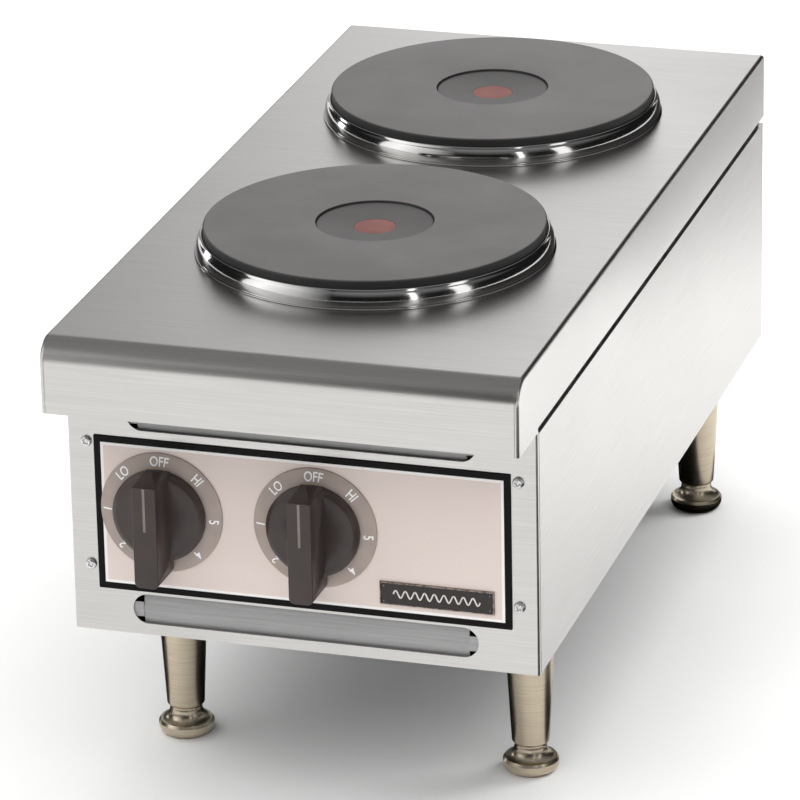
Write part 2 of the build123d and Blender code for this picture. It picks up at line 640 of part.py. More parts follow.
def heating_element(y):
    """Coil and cement packed into the groove under the plate."""
    top = CORE_UNDER + GROOVE_DEPTH - FIT_GAP
    outer = upright(GROOVE_OUTER - FIT_GAP, 0, y, CORE_UNDER, top)
    return outer - upright(GROOVE_INNER + FIT_GAP, 0, y, CORE_UNDER - CUT, top + CUT)


def plate_cover(y):
    """Thin cover under the element."""
    top = COVER_UNDER + COVER_SHEET
    cover = upright(CORE_RADIUS - COVER_STEP, 0, y, COVER_UNDER, top)
    return cover - upright(STUD_RADIUS + STUD_CLEARANCE, 0, y, COVER_UNDER - CUT, top + CUT)


def clamp_bar(y):
    """Bowed strap under the deck that the centre stud pulls up."""
    reach = PLATE_RADIUS + HOLE_MARGIN + CLAMP_LAND
    upper = [
        (-reach - CLAMP_PAD, 0),
        (-reach, 0),
        (-reach + CLAMP_PAD, -CLAMP_DROP),
        (reach - CLAMP_PAD, -CLAMP_DROP),
        (reach, 0),
        (reach + CLAMP_PAD, 0),
    ]
    lower = [(x, z - CLAMP_SHEET) for x, z in reversed(upper)]
    outline = make_face(Polyline(*upper, *lower, close=True))
    bar = extrude(Plane.XZ * outline, CLAMP_WIDTH / 2, both=True)
    bar = Pos(0, y, DECK_UNDER) * bar
    return bar - upright(STUD_RADIUS + STUD_CLEARANCE, 0, y, CLAMP_UNDER - CUT, DECK)


def clamp_stud(y):
    low = CLAMP_UNDER - CLAMP_NUT_HEIGHT - STUD_SPARE
    return upright(STUD_RADIUS, 0, y, low, CORE_UNDER + GROOVE_DEPTH)


def clamp_nut(y):
    nut = hexagon(CLAMP_NUT_FLATS, CLAMP_NUT_HEIGHT) - Cylinder(STUD_RADIUS, 4 * CLAMP_NUT_HEIGHT)
    return Pos(0, y, CLAMP_UNDER - CLAMP_NUT_HEIGHT) * nut


def plate_terminal_block(y):
    """Ceramic block on the cover, where the wires meet the element's leads."""
    x, offset = TERMINAL_OFFSET
    middle = BLOCK_UNDER + TERMINAL_SIZE[2] / 2
    ceramic = Pos(x, y + offset, middle) * Box(*TERMINAL_SIZE)
    ceramic = chamfer(ceramic.edges().filter_by(Axis.Z), TERMINAL_CHAMFER)
    hole_top = BLOCK_UNDER + TERMINAL_SCREW_LENGTH + THREAD_GAP
    for screw_x in terminal_screw_xs():
        hole = (TERMINAL_SCREW_RADIUS + THREAD_GAP, screw_x, y + offset)
        ceramic -= upright(*hole, BLOCK_UNDER - CUT, hole_top)
    return ceramic


def terminal_screw_xs():
    return [TERMINAL_OFFSET[0] + step * TERMINAL_SIZE[0] / 3 for step in (-1, 1)]


def terminal_screws(y):
    screws = []
    for x in terminal_screw_xs():
        across = y + TERMINAL_OFFSET[1]
        top = BLOCK_UNDER + TERMINAL_SCREW_LENGTH
        shank = upright(TERMINAL_SCREW_RADIUS, x, across, BLOCK_UNDER, top)
        head_low = BLOCK_UNDER - TERMINAL_HEAD_HEIGHT
        screws.append(shank + upright(TERMINAL_HEAD_RADIUS, x, across, head_low, BLOCK_UNDER))
    return screws


# ---- Wiring inside the casing ----------------------------------------------------------------
def wire(points, radii):
    """A round wire bundle along straight runs joined by arcs."""
    path = FilletPolyline(*points, radius=radii)
    section = Plane(origin=path @ 0, z_dir=path % 0) * Circle(WIRE_RADIUS)
    return sweep(section, path)


def plate_wire(dial, plate):
    """From a switch back through the baffle, under the shield, and up to a plate's block."""
    x = DIAL_XS[dial]
    end_x, offset = TERMINAL_OFFSET
    end_y = PLATE_YS[plate] + offset
    points = [
        (x, WIRE_START, UPPER_WIRE),
        (x, end_y - PLATE_WIRE_LEAD, UPPER_WIRE),
        (end_x, end_y, UPPER_WIRE),
        (end_x, end_y, BLOCK_UNDER - FIT_GAP),
    ]
    return wire(points, list(PLATE_WIRE_BENDS))


def supply_wire():
    """From the mains block forward along the floor and up to the right switch."""
    z = FLOOR_TOP + MAINS_BLOCK[2] / 2
    front = MAINS_Y - MAINS_BLOCK[1] / 2 - FIT_GAP
    points = [
        (MAINS_X, front, z),
        (MAINS_X, BAFFLE + SUPPLY_LEADS[0], z),
        (SUPPLY_X, BAFFLE + SUPPLY_LEADS[1], LOWER_WIRE),
        (SUPPLY_X, WIRE_START, LOWER_WIRE),
    ]
    return wire(points, list(SUPPLY_BENDS))


def baffle_grommet(x, z):
    """Rubber ring that lines a wire hole in the baffle."""
    thick = PANEL_SHEET + 2 * GROMMET_LIP
    sleeve = Cylinder(WIRE_HOLE, thick)
    lip = Cylinder(WIRE_HOLE + GROMMET_LIP, GROMMET_LIP)
    for end in (-1, 1):
        sleeve += Pos(0, 0, end * (thick - GROMMET_LIP) / 2) * lip
    sleeve -= Cylinder(WIRE_RADIUS + FIT_GAP, 2 * thick)
    return Pos(x, BAFFLE + PANEL_SHEET / 2, z) * Rot(90, 0, 0) * sleeve


def mains_block():
    """Moulded block with three ways, on the casing's floor beside the knock-out."""
    length, width, height = MAINS_BLOCK
    top = FLOOR_TOP + height
    body = Pos(MAINS_X, MAINS_Y, FLOOR_TOP + height / 2) * Box(length, width, height)
    for step in (-0.5, 0.5):
        middle = MAINS_X + step * length / 3
        gap = (middle - MAINS_GROOVE / 2, middle + MAINS_GROOVE / 2)
        span = (MAINS_Y - width / 2 - CUT, MAINS_Y + width / 2 + CUT)
        body -= block(gap, span, (FLOOR_TOP + height / 2, top + CUT))
    for x, y in mains_screw_places():
        hole_low = top - MAINS_SCREW_LENGTH - THREAD_GAP
        body -= upright(MAINS_SCREW_RADIUS + THREAD_GAP, x, y, hole_low, top + CUT)
    return body


def mains_screw_places():
    length, width, _ = MAINS_BLOCK
    rows = (MAINS_Y - width / 4, MAINS_Y + width / 4)
    return [(MAINS_X + step * length / 3, y) for step in (-1, 0, 1) for y in rows]


def mains_screws():
    top = FLOOR_TOP + MAINS_BLOCK[2]
    screws = []
    for x, y in mains_screw_places():
        shank = upright(MAINS_SCREW_RADIUS, x, y, top - MAINS_SCREW_LENGTH, top)
        screws.append(shank + upright(MAINS_HEAD_RADIUS, x, y, top, top + MAINS_HEAD_HEIGHT))
    return screws


def ground_lug():
    """Brass lug for the earth wire, on the casing's floor."""
    x = MAINS_X - MAINS_BLOCK[0]
    lug = Pos(x, MAINS_Y, FLOOR_TOP + LUG_FOOT[2] / 2) * Box(*LUG_FOOT)
    lug += Pos(x, MAINS_Y, FLOOR_TOP + LUG_POST[2] / 2) * Box(*LUG_POST)
    hole = Rot(90, 0, 0) * Cylinder(LUG_HOLE_RADIUS, LUG_FOOT[1])
    return lug - Pos(x, MAINS_Y, FLOOR_TOP + LUG_HOLE_HEIGHT) * hole


# ---- Legs and feet ------------------------------------------------------------------------------
def leg(x, y):
    """Tapered tube with a closed top and stud, and a threaded insert at its end."""
    top = BASE + PANEL_SHEET
    end = FOOT_HEIGHT
    bore = STEM_RADIUS + STEM_FIT
    hollow_end = end + LEG_INSERT
    hollow_top = top - 2 * LEG_WALL
    tube = turned(
        Line((bore, 0, end), (LEG_END_RADIUS, 0, end)),
        Line((LEG_END_RADIUS, 0, end), (LEG_TOP_RADIUS, 0, top)),
        Line((LEG_TOP_RADIUS, 0, top), (LEG_STUD_RADIUS, 0, top)),
        Line((LEG_STUD_RADIUS, 0, top), (LEG_STUD_RADIUS, 0, top + LEG_STUD_LENGTH)),
        Line((LEG_STUD_RADIUS, 0, top + LEG_STUD_LENGTH), (0, 0, top + LEG_STUD_LENGTH)),
        Line((0, 0, top + LEG_STUD_LENGTH), (0, 0, hollow_top)),
        Line((0, 0, hollow_top), (LEG_END_RADIUS - LEG_WALL, 0, hollow_top)),
        Line((LEG_END_RADIUS - LEG_WALL, 0, hollow_top), (LEG_END_RADIUS - LEG_WALL, 0, hollow_end)),
        Line((LEG_END_RADIUS - LEG_WALL, 0, hollow_end), (bore, 0, hollow_end)),
        Line((bore, 0, hollow_end), (bore, 0, end)),
    )
    return Pos(x, y, 0) * tube


def foot(x, y):
    """Screw-in foot: rounded pad, flange, neck and the stem that runs up the leg."""
    neck_top = FOOT_HEIGHT - FIT_GAP
    stem_top = neck_top + STEM_LENGTH
    under, under_up = FOOT_UNDER
    over, over_up = FOOT_OVER
    waist = (FOOT_RADIUS, 0, FOOT_WAIST)
    shoulder = (FOOT_NECK, 0, FOOT_SHOULDER)
    pad = turned(
        Line((0, 0, 0), (FOOT_REST, 0, 0)),
        ThreePointArc((FOOT_REST, 0, 0), (under, 0, under_up), waist),
        ThreePointArc(waist, (over, 0, over_up), shoulder),
        Line(shoulder, (FOOT_NECK, 0, neck_top)),
        Line((FOOT_NECK, 0, neck_top), (STEM_RADIUS, 0, neck_top)),
        Line((STEM_RADIUS, 0, neck_top), (STEM_RADIUS, 0, stem_top)),
        Line((STEM_RADIUS, 0, stem_top), (0, 0, stem_top)),
        Line((0, 0, stem_top), (0, 0, 0)),
    )
    return Pos(x, y, 0) * pad


def leg_nut_plate(x, y):
    """Square plate welded inside the floor, which a leg's stud screws into."""
    half = NUT_PLATE / 2
    plate = block((x - half, x + half), (y - half, y + half), (FLOOR_TOP, FLOOR_TOP + NUT_PLATE_THICK))
    top = FLOOR_TOP + NUT_PLATE_THICK + CUT
    return plate - upright(LEG_STUD_RADIUS + STEM_FIT, x, y, FLOOR_TOP - CUT, top)


# ---- Fasteners ------------------------------------------------------------------------------------
def front_screws():
    return [front_frame(x, z) * pan_screw() for x, z in front_screw_places()]


def back_screws():
    turn = Rot(-90, 0, 0)
    return [Pos(x, PANEL_BACK, z) * turn * pan_screw() for x, z in back_screw_places()]


def floor_screws():
    turn = Rot(180, 0, 0)
    return [Pos(x, y, BASE) * turn * pan_screw() for x, y in floor_screw_places()]


# ---- All nodes ------------------------------------------------------------------------------------
nodes = {
    "deck_top": deck_top(),
    "front_panel": front_panel(),
    "left_side_panel": side_panel(-1),
    "right_side_panel": side_panel(1),
    "rear_panel": rear_panel(),
    "bottom_panel": bottom_panel(),
    "heat_baffle": heat_baffle(),
    "heat_shield": heat_shield(),
    "lower_vent_deflector": vent_deflector(vent_heights()[0]),
    "upper_vent_deflector": vent_deflector(vent_heights()[1]),
    "control_overlay": control_overlay(),
    "nameplate": nameplate(),
    "front_panel_screws": front_screws(),
    "rear_panel_screws": back_screws(),
    "bottom_panel_screws": floor_screws(),
    "switch_nuts": [switch_nut(x) for x in DIAL_XS.values()],
    "switch_terminals": [tab for x in DIAL_XS.values() for tab in switch_tabs(x)],
    "clamp_studs": [clamp_stud(y) for y in PLATE_YS.values()],
    "clamp_nuts": [clamp_nut(y) for y in PLATE_YS.values()],
    "plate_terminal_screws": [screw for y in PLATE_YS.values() for screw in terminal_screws(y)],
    "front_plate_wire": plate_wire("left", "front"),
    "rear_plate_wire": plate_wire("right", "rear"),
    "supply_wire": supply_wire(),
    "baffle_grommets": [baffle_grommet(x, z) for x, z in WIRE_PORTS],
    "mains_terminal_block": mains_block(),
    "mains_terminal_screws": mains_screws(),
    "ground_lug": ground_lug(),
    "leg_nut_plates": [leg_nut_plate(x, y) for x, y in LEG_PLACES.values()],
}
for name, y in PLATE_YS.items():
    nodes[f"{name}_plate_disc"] = plate_disc(y)
    nodes[f"{name}_heat_marker"] = heat_marker(y)
    nodes[f"{name}_trim_ring"] = trim_ring(y)
    nodes[f"{name}_heating_element"] = heating_element(y)
    nodes[f"{name}_plate_cover"] = plate_cover(y)
    nodes[f"{name}_clamp_bar"] = clamp_bar(y)
    nodes[f"{name}_plate_terminal_block"] = plate_terminal_block(y)
for name, x in DIAL_XS.items():
    nodes[f"{name}_dial_plate"] = dial_plate(x)
    nodes[f"{name}_knob"] = knob(x)
    nodes[f"{name}_knob_pointer"] = knob_pointer(x)
    nodes[f"{name}_switch_shaft"] = switch_shaft(x)
    nodes[f"{name}_switch_body"] = switch_body(x)
for name, place in LEG_PLACES.items():
    nodes[f"{name}_leg"] = leg(*place)
    nodes[f"{name}_foot"] = foot(*place)

for name, shape in nodes.items():
    solid = Compound(children=shape) if isinstance(shape, list) else shape
    export_step(solid, f"parts/{name}.step")
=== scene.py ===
import json
import math

import bmesh
import bpy
import numpy as np
from mathutils import Matrix, Vector

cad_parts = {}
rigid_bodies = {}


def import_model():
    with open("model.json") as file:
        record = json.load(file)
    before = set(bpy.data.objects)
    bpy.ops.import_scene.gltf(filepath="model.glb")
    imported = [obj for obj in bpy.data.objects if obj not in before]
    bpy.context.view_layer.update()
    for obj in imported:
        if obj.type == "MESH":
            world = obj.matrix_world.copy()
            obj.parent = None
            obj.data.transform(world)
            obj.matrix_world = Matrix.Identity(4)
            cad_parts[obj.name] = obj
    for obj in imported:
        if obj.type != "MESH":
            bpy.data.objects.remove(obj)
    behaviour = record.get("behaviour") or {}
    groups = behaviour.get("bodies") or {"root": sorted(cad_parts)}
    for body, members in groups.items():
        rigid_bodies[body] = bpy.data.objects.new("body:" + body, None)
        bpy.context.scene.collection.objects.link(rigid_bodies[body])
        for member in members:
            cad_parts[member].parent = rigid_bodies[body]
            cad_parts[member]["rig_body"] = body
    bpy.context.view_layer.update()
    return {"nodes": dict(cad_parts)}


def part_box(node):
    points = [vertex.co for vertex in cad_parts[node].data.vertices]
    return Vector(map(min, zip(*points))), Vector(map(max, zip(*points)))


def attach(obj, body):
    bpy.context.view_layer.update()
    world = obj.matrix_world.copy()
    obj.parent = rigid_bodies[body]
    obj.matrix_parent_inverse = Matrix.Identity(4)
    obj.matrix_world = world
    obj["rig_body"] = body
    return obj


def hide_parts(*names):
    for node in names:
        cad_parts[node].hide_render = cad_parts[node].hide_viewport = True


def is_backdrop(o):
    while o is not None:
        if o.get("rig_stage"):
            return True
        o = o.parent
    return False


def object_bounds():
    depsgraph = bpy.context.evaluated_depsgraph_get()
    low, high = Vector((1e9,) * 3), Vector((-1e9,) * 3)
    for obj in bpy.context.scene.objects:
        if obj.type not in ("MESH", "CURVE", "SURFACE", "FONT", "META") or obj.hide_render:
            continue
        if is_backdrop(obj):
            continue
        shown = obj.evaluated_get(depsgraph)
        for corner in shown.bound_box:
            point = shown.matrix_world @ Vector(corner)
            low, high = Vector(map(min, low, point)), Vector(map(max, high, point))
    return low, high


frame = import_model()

nodes = frame["nodes"]

# ---- Camera -----------------------------------------------------------------------------
# A long lens, a little above the deck and to the right of the controls, about 3.6 m away.
# The body is tipped about one degree, so the uprights lean slightly to the left.
CAMERA_PLACE = Vector((0.966, -3.212, 1.5152))
CAMERA_AIM = Vector((-0.0199, -0.0042, 0.1746))
CAMERA_ROLL = math.radians(-1.174)
LENS = 243.49

camera = bpy.data.objects.new("camera", bpy.data.cameras.new("camera"))
bpy.context.scene.collection.objects.link(camera)
camera.data.lens = LENS
camera.data.sensor_width = 36.0
camera.data.clip_end = 60.0
looking = (CAMERA_AIM - CAMERA_PLACE).to_track_quat("-Z", "Y").to_matrix()
camera.matrix_world = Matrix.Translation(CAMERA_PLACE) @ (
    looking @ Matrix.Rotation(CAMERA_ROLL, 3, "Z")
).to_4x4()
bpy.context.scene.camera = camera


# ---- Floor ------------------------------------------------------------------------------
# Seamless white studio paper, matt, with a faint mottle so that it isn't one flat value. A
# lit wall stands round it, so that low views end in white too: only the camera sees it.
FLOOR_SIZE = 14.0
PAPER_WHITE = "#fbfbfa"
PAPER_SHADE = "#f4f4f3"
PAPER_MOTTLE = 1 / 3
WALL_RADIUS = 6.86
WALL_HEIGHT = 20.0
WALL_STEPS = 48
WALL_WHITE = "#fdfdfc"


def linear(text):
    """An sRGB hex colour as linear red, green, blue and alpha."""
    values = np.array([int(text[k : k + 2], 16) for k in (1, 3, 5)]) / 255
    curve = np.where(values <= 0.04045, values / 12.92, ((values + 0.055) / 1.055) ** 2.4)
    return (*curve.tolist(), 1.0)


def set_sockets(tree, node, sockets):
    """Sets a node's input sockets to plain values, or links them to other nodes' outputs."""
    for socket, source in sockets.items():
        if isinstance(source, bpy.types.NodeSocket):
            tree.links.new(source, node.inputs[socket])
        else:
            node.inputs[socket].default_value = source


def add_node(tree, kind, sockets=None, **settings):
    """Adds a shader node, sets its properties, and sets or links its input sockets."""
    made = tree.nodes.new(kind)
    for name, value in settings.items():
        setattr(made, name, value)
    set_sockets(tree, made, sockets or {})
    return made


def new_material(name):
    """A material with its tree, its shader and a socket that gives Object coordinates."""
    made = bpy.data.materials.new(name)
    made.use_nodes = True
    tree = made.node_tree
    place = add_node(tree, "ShaderNodeTexCoord").outputs["Object"]
    return made, tree, tree.nodes["Principled BSDF"], place


def set_ramp(ramp, *stops):
    """Gives a Color Ramp node its stops, each a position and a colour."""
    elements = ramp.color_ramp.elements
    while len(elements) < len(stops):
        elements.new(1.0)
    for element, (position, value) in zip(elements, stops):
        element.position = position
        element.color = value


def studio_paper():
    """Uncoated white paper on a roll: matt, and hardly brighter in one place than another."""
    made, tree, shader, place = new_material("studio_paper")
    cloud = add_node(tree, "ShaderNodeTexNoise", {"Vector": place, "Scale": 1 / PAPER_MOTTLE})
    ramp = add_node(tree, "ShaderNodeValToRGB", {"Fac": cloud.outputs["Fac"]})
    set_ramp(ramp, (0.3, linear(PAPER_SHADE)), (0.7, linear(PAPER_WHITE)))
    tree.links.new(ramp.outputs["Color"], shader.inputs["Base Color"])
    shader.inputs["Roughness"].default_value = 0.9
    shader.inputs["Specular IOR Level"].default_value = 0.1
    return made


def stage_piece(name, points, faces, finish, hidden_from=()):
    """Puts a mesh into the scene that isn't part of the object, unseen by some rays."""
    mesh = bpy.data.meshes.new(name)
    mesh.from_pydata(points, [], faces)
    mesh.materials.append(finish)
    made = bpy.data.objects.new(name, mesh)
    bpy.context.scene.collection.objects.link(made)
    for ray in hidden_from:
        setattr(made, "visible_" + ray, False)
    made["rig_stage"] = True


half_floor = FLOOR_SIZE / 2
floor_corners = [(-half_floor, -half_floor, 0), (half_floor, -half_floor, 0)]
floor_corners += [(half_floor, half_floor, 0), (-half_floor, half_floor, 0)]
stage_piece("floor", floor_corners, [(0, 1, 2, 3)], studio_paper())

wall_turn = np.linspace(0, 2 * np.pi, WALL_STEPS, endpoint=False)
wall_ring = WALL_RADIUS * np.stack([np.cos(wall_turn), np.sin(wall_turn)], axis=1)
wall_points = [(x, y, z) for z in (0, WALL_HEIGHT) for x, y in wall_ring.tolist()]
this_step = np.arange(WALL_STEPS)
next_step = np.roll(this_step, -1)
wall_faces = np.stack([this_step, next_step, next_step + WALL_STEPS, this_step + WALL_STEPS], axis=1)
wall_paper, wall_tree, wall_shader, _ = new_material("lit_wall_paper")
wall_glow = {"Emission Color": linear(WALL_WHITE), "Emission Strength": 1.0}
set_sockets(wall_tree, wall_shader, {"Base Color": (0, 0, 0, 1), **wall_glow})
wall_hidden = ("glossy", "diffuse", "shadow", "transmission", "volume_scatter")
stage_piece("studio_wall", wall_points, wall_faces.tolist(), wall_paper, wall_hidden)


# ---- Light ------------------------------------------------------------------------------
# A dark studio. Three fills light matt things and don't show in metal. What the metal does
# mirror is a dim room with a brighter ceiling, two graded cards, three narrow lamps, and
# flags that lie on the paper. Only mirror reflections see the cards and the flags.
ROOM_GLOW = 0.012
CEILING_GLOW = 0.26
CEILING_EDGE = (0.35, 0.75)  # how steeply a direction points up, where the ceiling fades in
TOP_FILL = 3.2
TOP_FILL_SPREAD = math.radians(100)
TOP_FILL_TILT = (math.radians(10), math.radians(-10), 0)

world = bpy.data.worlds.new("studio")
bpy.context.scene.world = world
world.use_nodes = True
room = world.node_tree
direction = add_node(room, "ShaderNodeTexCoord").outputs["Generated"]
up = add_node(room, "ShaderNodeSeparateXYZ", {0: direction}).outputs["Z"]
glow_range = {"Value": up, "From Min": CEILING_EDGE[0], "From Max": CEILING_EDGE[1]}
glow_range.update({"To Min": ROOM_GLOW, "To Max": CEILING_GLOW})
glow = add_node(room, "ShaderNodeMapRange", glow_range).outputs["Result"]
set_sockets(room, room.nodes["Background"], {"Color": (1, 1, 1, 1), "Strength": glow})


def soft_box(name, place, aim, size, power, mirrored):
    """A rectangular lamp at place, turned to aim. It either shows in polished metal and
    lights nothing, or the other way round, and the camera doesn't see it."""
    lamp = bpy.data.lights.new(name, "AREA")
    lamp.shape = "RECTANGLE"
    lamp.size, lamp.size_y = size
    lamp.energy = power
    made = bpy.data.objects.new(name, lamp)
    bpy.context.scene.collection.objects.link(made)
    made.location = place
    made.rotation_euler = (Vector(aim) - Vector(place)).to_track_quat("-Z", "Y").to_euler()
    made.visible_camera = False
    made.visible_glossy = mirrored
    made.visible_diffuse = not mirrored


top_fill = bpy.data.objects.new("top_fill", bpy.data.lights.new("top_fill", "SUN"))
bpy.context.scene.collection.objects.link(top_fill)
top_fill.data.energy = TOP_FILL
top_fill.data.angle = TOP_FILL_SPREAD
top_fill.visible_glossy = False
top_fill.rotation_euler = TOP_FILL_TILT
BODY = (0, 0, 0.3)
soft_box("right_fill", (1.1, 0.9, 0.9), (0.45, 0.6, 0), (0.8, 0.8), 11.0, False)
soft_box("front_fill", (0.3, -2.3, 1.1), (0, -0.25, 0.2), (1.6, 1.0), 6.0, False)
soft_box("front_right_strip", (0.95, -1.25, 0.75), BODY, (0.10, 1.1), 0.9, True)
soft_box("right_strip", (1.5, -0.62, 0.75), BODY, (0.30, 1.1), 1.5, True)
soft_box("left_strip", (-1.5, 0.55, 0.42), (0, -0.2, 0.3), (0.2, 0.35), 0.8, True)

CARD_BLACK = "#050505"
CARD_HIDDEN = ("camera", "diffuse", "shadow", "transmission", "volume_scatter")


def mirrored_card(name, corners, glow=()):
    """A flat card that only mirror reflections see. It is black, or glows with the levels
    of glow, each at its own x."""
    finish, tree, shader, place = new_material(name)
    black = {"Base Color": linear(CARD_BLACK), "Roughness": 1.0, "Specular IOR Level": 0.0}
    set_sockets(tree, shader, black)
    if glow:
        across = add_node(tree, "ShaderNodeSeparateXYZ", {0: place}).outputs["X"]
        first, last = glow[0][0], glow[-1][0]
        reach = {"Value": across, "From Min": first, "From Max": last}
        share = add_node(tree, "ShaderNodeMapRange", reach)
        ramp = add_node(tree, "ShaderNodeValToRGB", {"Fac": share.outputs["Result"]})
        stops = [((x - first) / (last - first), (level, level, level, 1)) for x, level in glow]
        set_ramp(ramp, *stops)
        set_sockets(tree, shader, {"Emission Color": ramp.outputs["Color"], "Emission Strength": 1.0})
    stage_piece(name, corners, [tuple(range(len(corners)))], finish, CARD_HIDDEN)


# The back card is mirrored in the deck, and fades to the left. The front card is mirrored in
# the trim rings, and fades to the right.
BACK_GLOW = ((-1.3, 0.35), (-0.75, 0.55), (-0.45, 0.95), (-0.2, 1.2), (0.0, 1.25))
back_corners = [(-1.3, 1.3, 0.35), (0, 1.3, 0.35), (0, 1.3, 1.6), (-1.3, 1.3, 1.6)]
mirrored_card("back_card", back_corners, BACK_GLOW)
FRONT_GLOW = ((-1.55, 1.3), (-1.25, 1.6), (-0.9, 0.9), (-0.55, 0.35), (-0.3, 0.03))
front_corners = [(-1.55, -0.62, 0.3), (-0.3, -1.72, 0.3), (-0.3, -1.72, 1.5), (-1.55, -0.62, 1.5)]
mirrored_card("front_card", front_corners, FRONT_GLOW)

# The flags darken the body's right corner lines, the sides of the legs and, in grey, the
# rear end of the right skirt. Each is an outline on the paper.
FLAG_RISE = 0.0006
FLAGS = {
    "right_flag": ((0.20, -0.34), (0.26, -0.95), (1.2, -1.0), (1.2, 0.1), (0.46, -0.04)),
    "under_flag": (
        (-0.42, -0.23), (-0.18, -0.185), (-0.10, -0.16), (-0.07, -0.19),
        (0.07, -0.195), (0.1, -0.15), (0.16, 0.35), (-0.42, 0.5),
    ),
    "leg_flag": ((0.145, -0.17), (0.26, -0.17), (0.26, -0.09), (0.145, -0.09)),
    "rear_flag": ((0.355, 0.80), (0.42, 0.66), (1.0, 0.6), (1.0, 1.7), (0.34, 1.7), (0.34, 1.0)),
}
GREY_GLOW = ((0.3, 0.30), (1.0, 0.30))
for name, outline in FLAGS.items():
    corners = [(x, y, FLAG_RISE) for x, y in outline]
    mirrored_card(name, corners, GREY_GLOW if name == "rear_flag" else ())

bpy.context.scene.view_settings.view_transform = "Standard"


# ---- Deck -------------------------------------------------------------------------------
# One sheet of 1.5 mm stainless steel, folded down on all four sides, with a wide rolled
# nose over the controls and a lip turned back under it. Brushed across its width.
DECK_SHEET = 0.0015
NOSE = 0.015
SIDE_FOLD = 0.0025
BACK_FOLD = 0.0025
LIP_DEPTH = 0.015
SKIRT_LAP = 0.012  # the side panels reach up this far behind the skirt
NOSE_STEPS = 20
FOLD_STEPS = 6
HOLE_CLEARANCE = 0.0015
STEEL_LIGHT = "#cfcdcb"
STEEL_SHADE = "#c2c0be"
CORNER_LINE = 0.0005  # the ground weld line at each end of the apron
CORNER_LINE_DEPTH = 0.0004
BRUSH_ACROSS = 0.0008  # real lines are about 0.2 mm apart, drawn coarser so that they show
BRUSH_ALONG = 0.06


def brushed_steel(name, along, roughness=0.30):
    """Stainless sheet with a belt-ground grain: a soft sheen that spreads across the lines."""
    made, tree, shader, place = new_material(name)
    scale = [1 / BRUSH_ALONG if axis == along else 1 / BRUSH_ACROSS for axis in "XYZ"]
    grain_place = add_node(tree, "ShaderNodeMapping", {"Vector": place, "Scale": scale})
    grain_sockets = {"Vector": grain_place.outputs[0], "Scale": 1.0, "Detail": 3.0}
    grain = add_node(tree, "ShaderNodeTexNoise", grain_sockets).outputs["Fac"]
    cloud = add_node(tree, "ShaderNodeTexNoise", {"Vector": place, "Scale": 9.0, "Detail": 4.0})
    ramp = add_node(tree, "ShaderNodeValToRGB", {"Fac": grain})
    set_ramp(ramp, (0.25, linear(STEEL_SHADE)), (0.75, linear(STEEL_LIGHT)))
    rough_range = {"Value": cloud.outputs["Fac"], "To Min": roughness - 0.05, "To Max": roughness + 0.05}
    rough = add_node(tree, "ShaderNodeMapRange", rough_range)
    bump_sockets = {"Height": grain, "Strength": 0.35, "Distance": 0.00008}
    bump = add_node(tree, "ShaderNodeBump", bump_sockets)
    tree.links.new(ramp.outputs["Color"], shader.inputs["Base Color"])
    tree.links.new(rough.outputs["Result"], shader.inputs["Roughness"])
    tree.links.new(bump.outputs["Normal"], shader.inputs["Normal"])
    shader.inputs["Metallic"].default_value = 1.0
    return made


def arc(middle, radius, start, stop, steps):
    """Points and outward directions along an arc, from angle start to stop in degrees."""
    turn = np.radians(np.linspace(start, stop, steps))
    out = np.stack([np.cos(turn), np.sin(turn)], axis=1)
    return np.array(middle) + radius * out, out


def grid_faces(rows, columns, closed=False):
    """Quads of a grid whose points are stored row by row; closed joins the last column
    to the first."""
    index = np.arange(rows * columns).reshape(rows, columns)
    if closed:
        index = np.hstack([index, index[:, :1]])
    corners = [index[:-1, :-1], index[:-1, 1:], index[1:, 1:], index[1:, :-1]]
    return np.stack(corners, axis=-1).reshape(-1, 4)


def build(name, points, faces, finish, body, *stands_for, slot=None, smooth=35):
    """Makes a piece from arrays of points and faces: coincident points are merged, faces
    are turned outwards, edges sharper than smooth degrees stay sharp."""
    mesh = bpy.data.meshes.new(name)
    faces = [face.tolist() if hasattr(face, "tolist") else list(face) for face in faces]
    mesh.from_pydata(np.asarray(points).tolist(), [], faces)
    tidy = bmesh.new()
    tidy.from_mesh(mesh)
    bmesh.ops.remove_doubles(tidy, verts=tidy.verts, dist=1e-6)
    bmesh.ops.dissolve_degenerate(tidy, edges=tidy.edges, dist=1e-7)
    bmesh.ops.recalc_face_normals(tidy, faces=tidy.faces)
    tidy.to_mesh(mesh)
    tidy.free()
    return finish_piece(name, mesh, finish, body, *stands_for, slot=slot, smooth=smooth)


def finish_piece(name, mesh, finish, body, *stands_for, slot=None, smooth=35):
    """Puts a mesh into the scene as a piece of the object."""
    mesh.shade_smooth()
    mesh.set_sharp_from_angle(angle=math.radians(smooth))
    mesh.materials.clear()
    mesh.materials.append(finish)
    piece = bpy.data.objects.new(name, mesh)
    bpy.context.scene.collection.objects.link(piece)
    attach(piece, body)
    if stands_for:
        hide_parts(*stands_for)
    return piece


def freeze(piece):
    """Applies a piece's modifiers to its mesh."""
    evaluated = piece.evaluated_get(bpy.context.evaluated_depsgraph_get())
    mesh = bpy.data.meshes.new_from_object(evaluated)
    piece.modifiers.clear()
    piece.data = mesh
    return piece


steel_across = brushed_steel("stainless_brushed_across", "X")
steel_lengthwise = brushed_steel("stainless_brushed_lengthwise", "Y")

